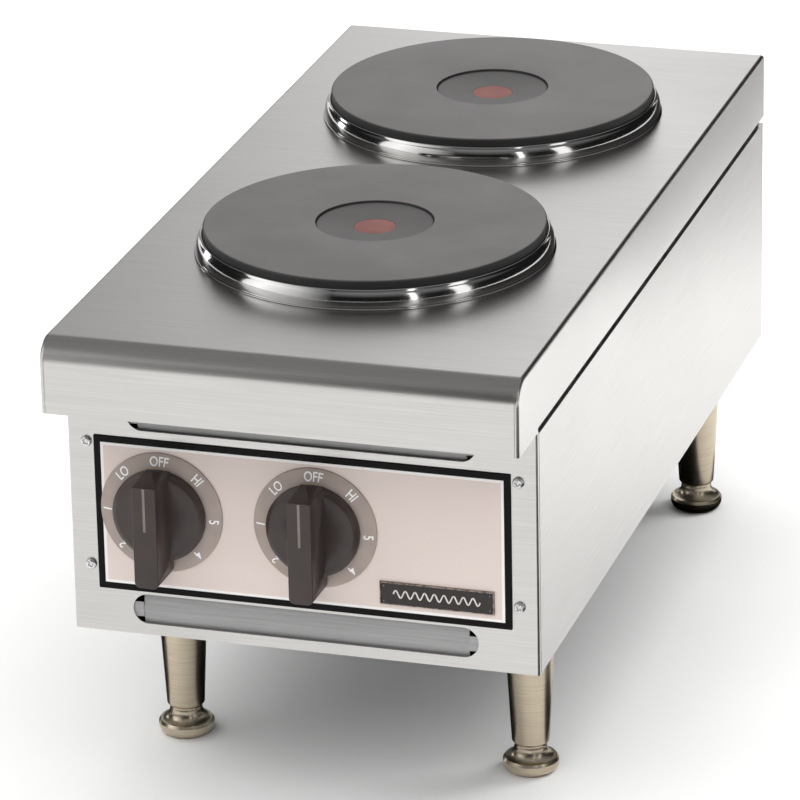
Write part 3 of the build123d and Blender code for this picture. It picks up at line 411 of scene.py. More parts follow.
deck_low, deck_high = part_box("deck_top")
SIDE = deck_high.x
FRONT, BACK = deck_low.y, deck_high.y
DECK, APRON_END = deck_high.z, deck_low.z
PANEL_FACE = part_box("front_panel")[0].y
SKIRT_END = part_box("right_side_panel")[1].z - SKIRT_LAP
plate_places = {}
for end in ("front", "rear"):
    plate_low, plate_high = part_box(f"{end}_plate_disc")
    plate_places[end] = (plate_low + plate_high) / 2
PLATE_RADIUS = (plate_high.x - plate_low.x) / 2


def deck_surface():
    """The outer face as a grid. One way it follows the side profile: up the front, round
    the nose, back over the deck and down the rear. The other way it goes from the left
    skirt's lower edge up to that profile, over its left fold, across, and down again.
    A fold point is the profile moved inwards by f(1 - cos a) and sideways by f sin a.
    Beside each fold a narrow weld line is sunk into the apron, and fades on the nose."""
    nose, nose_out = arc((FRONT + NOSE, DECK - NOSE), NOSE, 180, 90, NOSE_STEPS)
    tail, tail_out = arc((BACK - BACK_FOLD, DECK - BACK_FOLD), BACK_FOLD, 90, 0, FOLD_STEPS)
    step = [(PANEL_FACE, DECK)] * 2
    profile = np.vstack([[(FRONT, APRON_END)], nose, step, tail, [(BACK, SKIRT_END)]])
    outward = np.vstack([[(-1.0, 0.0)], nose_out, [(0.0, 1.0)] * 2, tail_out, [(1.0, 0.0)]])
    run = np.concatenate([[0.0], np.cumsum(np.linalg.norm(np.diff(profile, axis=0), axis=1))])
    stations = run[[0, NOSE_STEPS, NOSE_STEPS + 1, NOSE_STEPS + 3, -1]]
    lower_ys = [FRONT + SIDE_FOLD, FRONT + NOSE, PANEL_FACE, BACK - BACK_FOLD, BACK - SIDE_FOLD]
    lower_y = np.interp(run, stations, lower_ys)
    lower_z = np.where(np.arange(len(run)) <= NOSE_STEPS + 1, APRON_END, SKIRT_END)
    turn = np.linspace(np.pi / 2, 0, FOLD_STEPS)
    across = SIDE - SIDE_FOLD + SIDE_FOLD * np.sin(turn)
    across = np.append(across, across[-1] - CORNER_LINE * np.array([0.25, 0.5, 0.75, 1.0]))
    sink = np.append(SIDE_FOLD * (1 - np.cos(turn)), [0.0] * 4)
    fade = np.clip((outward[:, 1] - 0.7) / -0.7, 0, 1)[:, None]
    line = np.append(np.zeros(FOLD_STEPS), [0.8, 1.0, 0.8, 0.0]) * CORNER_LINE_DEPTH
    fold = profile[:, None, :] - outward[:, None, :] * (sink + fade * line)[..., None]
    fold_x = np.broadcast_to(across, fold.shape[:2])
    half = np.concatenate([fold_x[..., None], fold], axis=2)
    lower = np.stack([np.full_like(lower_y, SIDE), lower_y, lower_z], axis=1)
    half = np.concatenate([lower[:, None, :], half], axis=1)
    left = half * np.array([-1.0, 1.0, 1.0])
    surface = np.concatenate([left, half[:, ::-1]], axis=1)
    return surface.reshape(-1, 3), grid_faces(*surface.shape[:2])


def disc_cutter(name, x, y, radius, low, high, steps=128):
    """A closed round bar along Z, for cutting a hole."""
    turn = np.linspace(0, 2 * np.pi, steps, endpoint=False)
    ring = np.stack([x + radius * np.cos(turn), y + radius * np.sin(turn)], axis=1)
    ends = [np.column_stack([ring, np.full(steps, z)]) for z in (low, high)]
    faces = list(grid_faces(2, steps, closed=True)) + [range(steps), range(steps, 2 * steps)]
    mesh = bpy.data.meshes.new(name)
    mesh.from_pydata(np.vstack(ends).tolist(), [], [list(map(int, face)) for face in faces])
    tidy = bmesh.new()
    tidy.from_mesh(mesh)
    bmesh.ops.recalc_face_normals(tidy, faces=tidy.faces)
    tidy.to_mesh(mesh)
    tidy.free()
    cutter = bpy.data.objects.new(name, mesh)
    bpy.context.scene.collection.objects.link(cutter)
    return cutter


points, faces = deck_surface()
deck = build("deck_sheet", points, faces, steel_across, "casing", "deck_top", slot="brushed_stainless")
thicken = deck.modifiers.new("sheet", "SOLIDIFY")
thicken.thickness = DECK_SHEET
thicken.offset = -1.0
thicken.use_even_offset = True
cutters = []
for end, place in plate_places.items():
    hole = PLATE_RADIUS + HOLE_CLEARANCE
    cutter = disc_cutter(f"{end}_hole", place.x, place.y, hole, DECK - 0.01, DECK + 0.01)
    cut = deck.modifiers.new(f"{end}_hole", "BOOLEAN")
    cut.object = cutter
    cut.solver = "EXACT"
    cutters.append(cutter)
even = deck.modifiers.new("even_shading", "WEIGHTED_NORMAL")
even.keep_sharp = True
freeze(deck)
for cutter in cutters:
    bpy.data.objects.remove(cutter)

lip_x = SIDE - DECK_SHEET
lip_profile = [(FRONT + DECK_SHEET, APRON_END), (FRONT + LIP_DEPTH, APRON_END)]
lip_profile += [(FRONT + LIP_DEPTH, APRON_END + DECK_SHEET), (FRONT + DECK_SHEET, APRON_END + DECK_SHEET)]
lip_points = [(x, y, z) for x in (-lip_x, lip_x) for y, z in lip_profile]
lip_faces = [(0, 1, 5, 4), (1, 2, 6, 5), (2, 3, 7, 6), (3, 0, 4, 7), (0, 3, 2, 1), (4, 5, 6, 7)]
lip = build("apron_lip", lip_points, lip_faces, steel_across, "casing", slot="brushed_stainless")
soft = lip.modifiers.new("soft_edges", "BEVEL")
soft.width = DECK_SHEET / 4
soft.segments = 2
freeze(lip)


# ---- Panels -----------------------------------------------------------------------------
# Thinner stainless sheets hung under the deck and screwed at their folded flanges. The
# edges of the sheets and of the vent slots are slightly broken, so they catch the light.
SHEET_EDGE = 0.0004
MERGE = 0.00001
SPANGLE = 1 / 110
MILL_ALONG = 0.05
MILL_ACROSS = 0.0012  # real rolling lines are under 0.1 mm apart, drawn coarser so that they show


def softened(name, node, finish, slot, width=SHEET_EDGE):
    """A packed sheet-metal node, merged into whole faces, with its sharp edges rounded."""
    mesh = nodes[node].data.copy()
    mesh.name = name
    whole = bmesh.new()
    whole.from_mesh(mesh)
    bmesh.ops.remove_doubles(whole, verts=whole.verts, dist=MERGE)
    flat = math.radians(1)
    bmesh.ops.dissolve_limit(whole, angle_limit=flat, verts=whole.verts, edges=whole.edges)
    whole.to_mesh(mesh)
    whole.free()
    body = nodes[node]["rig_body"]
    piece = finish_piece(name, mesh, finish, body, node, slot=slot)
    edge = piece.modifiers.new("broken_edges", "BEVEL")
    edge.width = width
    edge.segments = 2
    edge.limit_method = "ANGLE"
    edge.angle_limit = math.radians(40)
    edge.harden_normals = True
    return piece


softened("front_sheet", "front_panel", steel_across, "brushed_stainless")
softened("left_side_sheet", "left_side_panel", steel_lengthwise, "brushed_stainless")
softened("right_side_sheet", "right_side_panel", steel_lengthwise, "brushed_stainless")
softened("rear_sheet", "rear_panel", steel_across, "brushed_stainless")


def galvanised(name):
    """Hot-dip zinc on mild steel: dull, blue-grey, with a faint patchwork of crystals."""
    made, tree, shader, place = new_material(name)
    crystal = add_node(tree, "ShaderNodeTexVoronoi", {"Vector": place, "Scale": 1 / SPANGLE})
    ramp = add_node(tree, "ShaderNodeValToRGB", {"Fac": crystal.outputs["Color"]})
    set_ramp(ramp, (0.2, linear("#9a9ea0")), (0.8, linear("#b4b7b8")))
    tree.links.new(ramp.outputs["Color"], shader.inputs["Base Color"])
    rough_range = {"Value": crystal.outputs["Color"], "To Min": 0.38, "To Max": 0.52}
    rough = add_node(tree, "ShaderNodeMapRange", rough_range)
    tree.links.new(rough.outputs["Result"], shader.inputs["Roughness"])
    shader.inputs["Metallic"].default_value = 1.0
    return made


galvanised_sheet = galvanised("galvanised_sheet")


def mill_finish(name):
    """Stainless strip as it comes off the mill: pickled, pale and dull, hardly mirroring."""
    made, tree, shader, place = new_material(name)
    scale = (1 / MILL_ALONG, 1 / MILL_ACROSS, 1 / MILL_ACROSS)
    rolled = add_node(tree, "ShaderNodeMapping", {"Vector": place, "Scale": scale})
    streak = add_node(tree, "ShaderNodeTexNoise", {"Vector": rolled.outputs[0], "Scale": 1.0, "Detail": 2.0})
    ramp = add_node(tree, "ShaderNodeValToRGB", {"Fac": streak.outputs["Fac"]})
    set_ramp(ramp, (0.3, linear("#9f9f9f")), (0.7, linear("#acacac")))
    tree.links.new(ramp.outputs["Color"], shader.inputs["Base Color"])
    shader.inputs["Roughness"].default_value = 0.55
    shader.inputs["Metallic"].default_value = 0.35
    return made


mill_steel = mill_finish("mill_finish_stainless")
softened("floor_sheet", "bottom_panel", galvanised_sheet, "galvanised_sheet")
for name in ("heat_baffle", "heat_shield"):
    nodes[name].data.materials.clear()
    nodes[name].data.materials.append(galvanised_sheet)
for name in ("lower_vent_deflector", "upper_vent_deflector"):
    softened(name + "_strip", name, mill_steel, "brushed_stainless", SHEET_EDGE / 2)


# ---- Control overlay --------------------------------------------------------------------
# A thin aluminium plate, screen printed: a black border, a white line inside it, and a
# satin taupe field behind the knobs.
BORDER = 0.0045
WHITE_LINE = 0.0018
OVERLAY_CORNER = 0.0008
INK_MOTTLE = 0.04
INK_TOOTH = 1 / 2200
BORDER_BLACK = "#0b0a0a"
LINE_WHITE = "#f6f3f1"
FIELD_TAUPE = "#e4d6d0"
overlay_low, overlay_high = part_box("control_overlay")
overlay_middle = (overlay_low + overlay_high) / 2
overlay_half_x = (overlay_high.x - overlay_low.x) / 2
overlay_half_z = (overlay_high.z - overlay_low.z) / 2
PANEL = overlay_high.y


def printed_overlay():
    """Screen ink on aluminium: satin, with a very fine emboss. The print depends on the
    distance in from the plate's edge, the smaller of its two half sizes less |x| and |z|."""
    made, tree, shader, place = new_material("printed_overlay")
    centre = [-v for v in overlay_middle]
    centred = add_node(tree, "ShaderNodeMapping", {"Vector": place, "Location": centre})
    parts = add_node(tree, "ShaderNodeSeparateXYZ", {"Vector": centred.outputs[0]})
    inset = []
    for axis, half in (("X", overlay_half_x), ("Z", overlay_half_z)):
        size = add_node(tree, "ShaderNodeMath", {0: parts.outputs[axis]}, operation="ABSOLUTE")
        left = add_node(tree, "ShaderNodeMath", {0: half, 1: size.outputs[0]}, operation="SUBTRACT")
        inset.append(left.outputs[0])
    edge = add_node(tree, "ShaderNodeMath", {0: inset[0], 1: inset[1]}, operation="MINIMUM")
    reach = 4 * BORDER
    share = add_node(tree, "ShaderNodeMath", {0: edge.outputs[0], 1: reach}, operation="DIVIDE")
    print_ramp = add_node(tree, "ShaderNodeValToRGB", {"Fac": share.outputs[0]})
    print_ramp.color_ramp.interpolation = "CONSTANT"
    line_start = BORDER / reach
    line_end = (BORDER + WHITE_LINE) / reach
    set_ramp(
        print_ramp,
        (0.0, linear(BORDER_BLACK)),
        (line_start, linear(LINE_WHITE)),
        (line_end, linear(FIELD_TAUPE)),
    )
    tooth = add_node(tree, "ShaderNodeTexNoise", {"Vector": place, "Scale": 1 / INK_TOOTH})
    mixed = add_node(tree, "ShaderNodeMix", data_type="RGBA", blend_type="SOFT_LIGHT")
    colours = {6: print_ramp.outputs["Color"], 7: tooth.outputs["Color"]}
    set_sockets(tree, mixed, {"Factor": INK_MOTTLE, **colours})
    bump_sockets = {"Height": tooth.outputs["Fac"], "Strength": 0.1, "Distance": 0.00005}
    bump = add_node(tree, "ShaderNodeBump", bump_sockets)
    tree.links.new(mixed.outputs[2], shader.inputs["Base Color"])
    tree.links.new(bump.outputs["Normal"], shader.inputs["Normal"])
    shader.inputs["Roughness"].default_value = 0.42
    shader.inputs["Specular IOR Level"].default_value = 0.12
    return made


def rounded_outline(left, right, low, high, radii, steps=7):
    """Points and outward directions round a rectangle with arc corners. The radii are
    for the corners at upper right, upper left, lower left and lower right."""
    signs = [(1, 1), (-1, 1), (-1, -1), (1, -1)]
    corners = [(right, high), (left, high), (left, low), (right, low)]
    parts = []
    for k, ((sx, sy), (x, y), radius) in enumerate(zip(signs, corners, radii)):
        parts.append(arc((x - sx * radius, y - sy * radius), radius, 90 * k, 90 * k + 90, steps))
    return np.vstack([p for p, _ in parts]), np.vstack([o for _, o in parts])


def stacked(outline, outward, steps, panel_face):
    """A closed solid on the panel: the outline is drawn once for each step, moved in by
    the step's inset and out from the panel by its height, then both ends are capped."""
    count = len(outline)
    rings = []
    for inset, rise in steps:
        flat = outline - inset * outward
        rings.append(np.column_stack([flat[:, 0], np.full(count, panel_face - rise), flat[:, 1]]))
    faces = list(grid_faces(len(steps), count, closed=True))
    last = count * (len(steps) - 1)
    faces += [np.arange(count)[::-1], np.arange(last, last + count)]
    return np.vstack(rings), faces


overlay_sheet = overlay_high.y - overlay_low.y
outline, outward = rounded_outline(
    overlay_low.x, overlay_high.x, overlay_low.z, overlay_high.z, [OVERLAY_CORNER] * 4
)
overlay_steps = [(0, 0), (0, 0.7 * overlay_sheet), (0.3 * overlay_sheet, overlay_sheet)]
points, faces = stacked(outline, outward, overlay_steps, PANEL)
build("overlay_plate", points, faces, printed_overlay(), "casing", "control_overlay", slot="overlay_taupe")
OVERLAY_FACE = overlay_low.y


# ---- Nameplate --------------------------------------------------------------------------
# A small cast plate with a bright bevelled rim, a dark field, four rivets and a plain
# wavy heat line in relief. It carries no name.
RIM = 0.0012
FIELD_SINK = 0.0005
WAVE_HEIGHT = 0.0024
WAVE_COUNT = 9
WAVE_WIDTH = 0.0011
WAVE_MARGIN = 0.009
RIVET_RADIUS = 0.0006
RIVET_MARGIN = 0.0028
badge_low, badge_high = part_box("nameplate")
badge_rise = OVERLAY_FACE - badge_low.y


def dark_badge():
    """Black lacquer on a zinc casting, nearly gloss, faintly brown, finely pebbled."""
    made, tree, shader, place = new_material("black_lacquer")
    pebble = add_node(tree, "ShaderNodeTexNoise", {"Vector": place, "Scale": 1500.0})
    ramp = add_node(tree, "ShaderNodeValToRGB", {"Fac": pebble.outputs["Fac"]})
    set_ramp(ramp, (0.35, linear("#120c0a")), (0.7, linear("#2a211d")))
    bump_sockets = {"Height": pebble.outputs["Fac"], "Strength": 0.4, "Distance": 0.0001}
    bump = add_node(tree, "ShaderNodeBump", bump_sockets)
    tree.links.new(ramp.outputs["Color"], shader.inputs["Base Color"])
    tree.links.new(bump.outputs["Normal"], shader.inputs["Normal"])
    shader.inputs["Roughness"].default_value = 0.35
    return made


def plated(name, light, shade, roughness, grain):
    """Plated or polished metal with a faint unevenness; grain is its size in metres."""
    made, tree, shader, place = new_material(name)
    cloud = add_node(tree, "ShaderNodeTexNoise", {"Vector": place, "Scale": 1 / grain, "Detail": 3.0})
    ramp = add_node(tree, "ShaderNodeValToRGB", {"Fac": cloud.outputs["Fac"]})
    set_ramp(ramp, (0.3, linear(shade)), (0.7, linear(light)))
    rough_range = {"Value": cloud.outputs["Fac"], "To Min": roughness * 0.7, "To Max": roughness * 1.3}
    rough = add_node(tree, "ShaderNodeMapRange", rough_range)
    tree.links.new(ramp.outputs["Color"], shader.inputs["Base Color"])
    tree.links.new(rough.outputs["Result"], shader.inputs["Roughness"])
    shader.inputs["Metallic"].default_value = 1.0
    return made


badge_metal = plated("antique_nickel", "#b5aca6", "#6f6560", 0.28, 0.004)
outline, outward = rounded_outline(
    badge_low.x, badge_high.x, badge_low.z, badge_high.z, [RIM / 3] * 4
)
rim_steps = [(0, 0), (0, 0.5 * badge_rise), (0.4 * RIM, badge_rise)]
rim_steps += [(0.6 * RIM, badge_rise), (RIM, badge_rise - FIELD_SINK)]
points, faces = stacked(outline, outward, rim_steps, OVERLAY_FACE)
build("nameplate_rim", points, faces, badge_metal, "casing", "nameplate", slot="badge_black")
field, field_out = rounded_outline(
    badge_low.x + RIM, badge_high.x - RIM, badge_low.z + RIM, badge_high.z - RIM, [RIM / 3] * 4
)
field_rise = badge_rise - FIELD_SINK + 0.0001
points, faces = stacked(field, field_out, [(0, 0.0002), (0, field_rise)], OVERLAY_FACE)
build("nameplate_field", points, faces, dark_badge(), "casing", slot="badge_black")


def wave_relief(left, right, middle, face):
    """A raised wavy ribbon: its middle line is z = h sin(2 pi n t) along x, its width is
    laid off across that line, and its section is a low arch."""
    t = np.linspace(0, 1, 24 * WAVE_COUNT)
    phase = 2 * np.pi * WAVE_COUNT * t
    x = left + (right - left) * t
    z = middle + WAVE_HEIGHT * np.sin(phase)
    slope = np.gradient(z, x)
    across = np.stack([-slope, np.ones_like(slope)], axis=1)
    across /= np.linalg.norm(across, axis=1)[:, None]
    side = np.array([-0.5, -0.3, 0.0, 0.3, 0.5, 0.3, 0.0, -0.3]) * WAVE_WIDTH
    rise = np.array([0.0, 0.8, 1.0, 0.8, 0.0, -0.2, -0.2, -0.2]) * (badge_low.y - face) * -0.9
    px = x[:, None] + across[:, :1] * side
    pz = z[:, None] + across[:, 1:] * side
    py = np.broadcast_to(face - rise, px.shape)
    points = np.stack([px, py, pz], axis=-1).reshape(-1, 3)
    rows, columns = px.shape
    faces = list(grid_faces(rows, columns, closed=True))
    faces += [np.arange(columns)[::-1], np.arange((rows - 1) * columns, rows * columns)]
    return points, faces


badge_middle = (badge_low.z + badge_high.z) / 2
field_face = OVERLAY_FACE - field_rise
points, faces = wave_relief(
    badge_low.x + WAVE_MARGIN, badge_high.x - WAVE_MARGIN, badge_middle, field_face
)
wave_metal = plated("bright_relief", "#f4f1ee", "#d9d5d1", 0.35, 0.004)
build("nameplate_wave", points, faces, wave_metal, "casing", slot="polished_trim")

rivet_points, rivet_faces = [], []
dome, dome_out = arc((0, 0), RIVET_RADIUS, 0, 90, 5)
for x in (badge_low.x + RIVET_MARGIN, badge_high.x - RIVET_MARGIN):
    for z in (badge_low.z + RIVET_MARGIN, badge_high.z - RIVET_MARGIN):
        turn = np.linspace(0, 2 * np.pi, 16, endpoint=False)
        px = x + dome[:, :1] * np.cos(turn)
        pz = z + dome[:, :1] * np.sin(turn)
        py = np.broadcast_to(field_face - 0.6 * dome[:, 1:], px.shape)
        start = sum(len(p) for p in rivet_points)
        rivet_points.append(np.stack([px, py, pz], axis=-1).reshape(-1, 3))
        rivet_faces += list(grid_faces(5, 16, closed=True) + start)
        rivet_faces.append(np.arange(16)[::-1] + start)
build("nameplate_rivets", np.vstack(rivet_points), rivet_faces, badge_metal, "casing", slot="polished_trim")


# ---- Dial plates ------------------------------------------------------------------------
# Moulded rings round the switch shafts, with a sloping face and the heat settings in
# white. They are screwed down by the switches' nuts and don't turn.
FLAT_RADIUS = 0.0307
DIAL_ROUND = 0.0004
DIAL_STEPS = 128
dial_places, dial_size = {}, {}
for hand in ("left", "right"):
    low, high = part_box(f"{hand}_dial_plate")
    dial_places[hand] = ((low.x + high.x) / 2, (low.z + high.z) / 2)
    dial_size[hand] = ((high.x - low.x) / 2, high.y - low.y)
DIAL_RADIUS, DIAL_FACE = dial_size["left"]
DIAL_EDGE = 0.0014
DIAL_BORE = 0.019


def moulded(name, light, shade, roughness, grain=0.0012, bump_depth=0.00004):
    """Moulded plastic: a satin skin with a fine uneven texture from the tool."""
    made, tree, shader, place = new_material(name)
    skin = add_node(tree, "ShaderNodeTexNoise", {"Vector": place, "Scale": 1 / grain, "Detail": 4.0})
    cloud = add_node(tree, "ShaderNodeTexNoise", {"Vector": place, "Scale": 60.0, "Detail": 2.0})
    ramp = add_node(tree, "ShaderNodeValToRGB", {"Fac": cloud.outputs["Fac"]})
    set_ramp(ramp, (0.3, linear(shade)), (0.7, linear(light)))
    rough_range = {"Value": skin.outputs["Fac"], "To Min": roughness - 0.06, "To Max": roughness + 0.06}
    rough = add_node(tree, "ShaderNodeMapRange", rough_range)
    bump_sockets = {"Height": skin.outputs["Fac"], "Strength": 0.25, "Distance": bump_depth}
    bump = add_node(tree, "ShaderNodeBump", bump_sockets)
    tree.links.new(ramp.outputs["Color"], shader.inputs["Base Color"])
    tree.links.new(rough.outputs["Result"], shader.inputs["Roughness"])
    tree.links.new(bump.outputs["Normal"], shader.inputs["Normal"])
    return made


def turned_on_panel(radii, rises, x, z, steps, face):
    """A ring turned about the line out of the panel at x, z: each point of the section is
    a radius and a rise, carried round a full circle. A closed section joins its ends."""
    turn = np.linspace(0, 2 * np.pi, steps, endpoint=False)
    px = x + np.outer(radii, np.sin(turn))
    pz = z + np.outer(radii, np.cos(turn))
    py = np.broadcast_to(face - np.asarray(rises)[:, None], px.shape)
    points = np.stack([px, py, pz], axis=-1).reshape(-1, 3)
    return points, grid_faces(len(radii), steps, closed=True)


dial_brown = moulded("dial_satin_taupe", "#aa9c94", "#a0928b", 0.42)
mark_white = moulded("figure_white", "#ffffff", "#f7f5f3", 0.4)
MARKS = (("OFF", 0), ("HI", 45), ("5", 94), ("4", 137), ("3", 180), ("2", 228), ("1", 270), ("LO", 316))
MARK_HEIGHT = 0.0060
MARK_FOOT = 0.0321
MARK_RISE = 0.00012
MARK_SINK = 0.0002
MARK_SQUEEZE = 0.82
MARK_WEIGHT = 0.00011


def dial_rise(radius):
    """Height of the dial's sloping face at a radius, above the overlay."""
    return np.interp(radius, [FLAT_RADIUS, DIAL_RADIUS - DIAL_ROUND], [DIAL_FACE, DIAL_EDGE])


def dial_figures(x, z):
    """Letters and figures bent round the dial: a point of a letter's outline that is a to
    the right of its middle and b above its foot goes to radius foot + b, and a / radius
    further round. It lies on the sloping face, a little proud of it."""
    all_points, all_faces = [], []
    start = 0
    for text, angle in MARKS:
        letter = bpy.data.curves.new("mark", "FONT")
        letter.body = text
        letter.align_x = "CENTER"
        letter.size = MARK_HEIGHT / 0.7
        letter.extrude = 0.5
        letter.offset = MARK_WEIGHT
        letter.resolution_u = 6
        holder = bpy.data.objects.new("mark", letter)
        bpy.context.scene.collection.objects.link(holder)
        graph = bpy.context.evaluated_depsgraph_get()
        mesh = bpy.data.meshes.new_from_object(holder.evaluated_get(graph))
        flat = np.empty(3 * len(mesh.vertices))
        mesh.vertices.foreach_get("co", flat)
        flat = flat.reshape(-1, 3)
        faces = [[v + start for v in face.vertices] for face in mesh.polygons]
        radius = MARK_FOOT + flat[:, 1]
        round_by = math.radians(angle) + MARK_SQUEEZE * flat[:, 0] / (MARK_FOOT + MARK_HEIGHT / 2)
        lift = np.where(flat[:, 2] > 0, MARK_RISE, -MARK_SINK)
        y = OVERLAY_FACE - dial_rise(radius) - lift
        places = [x + radius * np.sin(round_by), y, z + radius * np.cos(round_by)]
        all_points.append(np.stack(places, axis=1))
        all_faces += faces
        start += len(flat)
        bpy.data.objects.remove(holder)
        bpy.data.meshes.remove(mesh)
        bpy.data.curves.remove(letter)
    return np.vstack(all_points), all_faces


for hand, (x, z) in dial_places.items():
    edge, _ = arc((DIAL_RADIUS - DIAL_ROUND, DIAL_EDGE - DIAL_ROUND), DIAL_ROUND, 0, 90, 4)
    radii = [DIAL_BORE, DIAL_RADIUS, *edge[:, 0], FLAT_RADIUS, DIAL_BORE, DIAL_BORE]
    rises = [0, 0, *edge[:, 1], DIAL_FACE, DIAL_FACE, 0]
    points, faces = turned_on_panel(radii, rises, x, z, DIAL_STEPS, OVERLAY_FACE)
    build(f"{hand}_dial_ring", points, faces, dial_brown, "casing", f"{hand}_dial_plate", slot="dial_taupe")
    points, faces = dial_figures(x, z)
    build(f"{hand}_dial_figures", points, faces, mark_white, "casing", slot="pointer_white", smooth=20)


# ---- Knobs ------------------------------------------------------------------------------
# Phenolic mouldings pushed on the shafts: a chamfered disc, and a tall bar grip whose tail
# stands past the disc. A pale line is filled into the upper half of the bar's face.
knob_low, knob_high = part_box("left_knob")
KNOB_RADIUS = (knob_high.x - knob_low.x) / 2
KNOB_BACK = PANEL - knob_high.y
KNOB_FACE = PANEL - knob_low.y
DISC_THICK = 0.0055
DISC_CHAMFER = 0.0030
DISC_CHAMFER_DROP = 0.0022
BACK_EDGE = 0.0003
SIDE_EDGE = 0.0002
BAR_HALF = 0.0083
BAR_TOP = 0.0300
BAR_TAIL = 0.0386
BAR_DRAFT = 0.0004
BAR_ROUND = 0.0007
TOP_ROUND = 0.0011
TAIL_ROUND = 0.0042
LINE_HALF = 0.0008
LINE_PROUD = 0.00012
LINE_SINK = 0.0004
LINE_END = 0.0012

knob_phenolic = moulded("knob_phenolic", "#392c2a", "#302624", 0.36)
pointer_fill = moulded("pointer_enamel", "#857a71", "#776d65", 0.5)


def knob_bar(x, z):
    """The bar as stacked outlines: straight sides with a little draft, and a rounded
    edge round its face, where each ring is moved in by r(1 - cos a) and out by r sin a."""
    outline, outward = rounded_outline(
        x - BAR_HALF, x + BAR_HALF, z - BAR_TAIL, z + BAR_TOP,
        [TOP_ROUND, TOP_ROUND, TAIL_ROUND, TAIL_ROUND],
    )
    turn = np.linspace(0, np.pi / 2, 6)
    insets = BAR_DRAFT + BAR_ROUND * (1 - np.cos(turn))
    rises = KNOB_FACE - LINE_PROUD - BAR_ROUND * (1 - np.sin(turn))
    steps = [(0.0, KNOB_BACK + DISC_THICK / 8), *zip(insets, rises)]
    return stacked(outline, outward, steps, PANEL)


for hand, (x, z) in dial_places.items():
    body = f"{hand}_knob"
    back = KNOB_BACK
    front = KNOB_BACK + DISC_THICK
    side_end = front - DISC_CHAMFER_DROP
    top_edge = KNOB_RADIUS - DISC_CHAMFER
    radii = [0, KNOB_RADIUS - BACK_EDGE, KNOB_RADIUS, KNOB_RADIUS, KNOB_RADIUS - SIDE_EDGE]
    rises = [back, back, back + BACK_EDGE, side_end, side_end + SIDE_EDGE]
    radii += [top_edge, top_edge - BACK_EDGE, 0]
    rises += [front - SIDE_EDGE / 2, front, front]
    points, faces = turned_on_panel(radii, rises, x, z, 128, PANEL)
    disc = build(f"{hand}_knob_grip", points, faces, knob_phenolic, body, f"{hand}_knob", slot="knob_brown")
    points, faces = knob_bar(x, z)
    bar = build(f"{hand}_bar", points, faces, knob_phenolic, body)
    join = disc.modifiers.new("bar", "BOOLEAN")
    join.operation = "UNION"
    join.object = bar
    join.solver = "EXACT"
    freeze(disc)
    bpy.data.objects.remove(bar)
    line_low = (z, KNOB_FACE - LINE_SINK)
    line_high = (z + BAR_TOP - LINE_END, KNOB_FACE)
    section = np.array([line_low, (z, KNOB_FACE), line_high, (line_high[0], line_low[1])])
    left = np.column_stack([np.full(4, x - LINE_HALF), PANEL - section[:, 1], section[:, 0]])
    right = left + np.array([2 * LINE_HALF, 0, 0])
    points = np.vstack([left, right])
    faces = [*grid_faces(2, 4, closed=True), (0, 1, 2, 3), (7, 6, 5, 4)]
    pointer = f"{hand}_knob_pointer"
    build(f"{hand}_pointer_line", points, faces, pointer_fill, body, pointer, slot="pointer_white")


# ---- Cooking plates ---------------------------------------------------------------------
# Grey-iron castings, turned flat on top and blackened by the first heating. Each has a
# dished middle recess with a red spot, drawn a little darker on its floor and with painted
# shade on its wall; its side is left as cast and drawn darker than its face, partly for that
# skin and partly as painted shade.
SHOULDER = 0.0016
RIM_BOTTOM = 0.010
CORE_STEP = 0.006
CORE_DEPTH = 0.004
RECESS_RADIUS = 0.038
RECESS_FLOOR = 0.0372
RECESS_DEPTH = 0.0016
IRON_LIGHT = "#636160"
IRON_DARK = "#595857"
IRON_FACE = "#ffffff"  # the colours below darken the iron where they are drawn over it
# The recess floor is drawn a little darker than the face.
RECESS_FLOOR_DARKER = "#cfcfcf"
# Painted shade: the recess wall is drawn dark, as if in shadow.
RECESS_WALL_SHADE = "#4a4a4a"
# The side is drawn darker partly for its cast skin and partly as painted shade, for the less light it gets
# than the face.
CAST_SIDE_AND_SHADE = "#7a7a7a"
GROOVE = (0.045, 0.095)
GROOVE_DEPTH = 0.008
STUD_RADIUS = 0.004
TURN_PITCH = 0.0011  # real tool marks are about 0.3 mm apart, drawn coarser so that they show
RING_SHARE = 0.35
PLATE_STEPS = 192


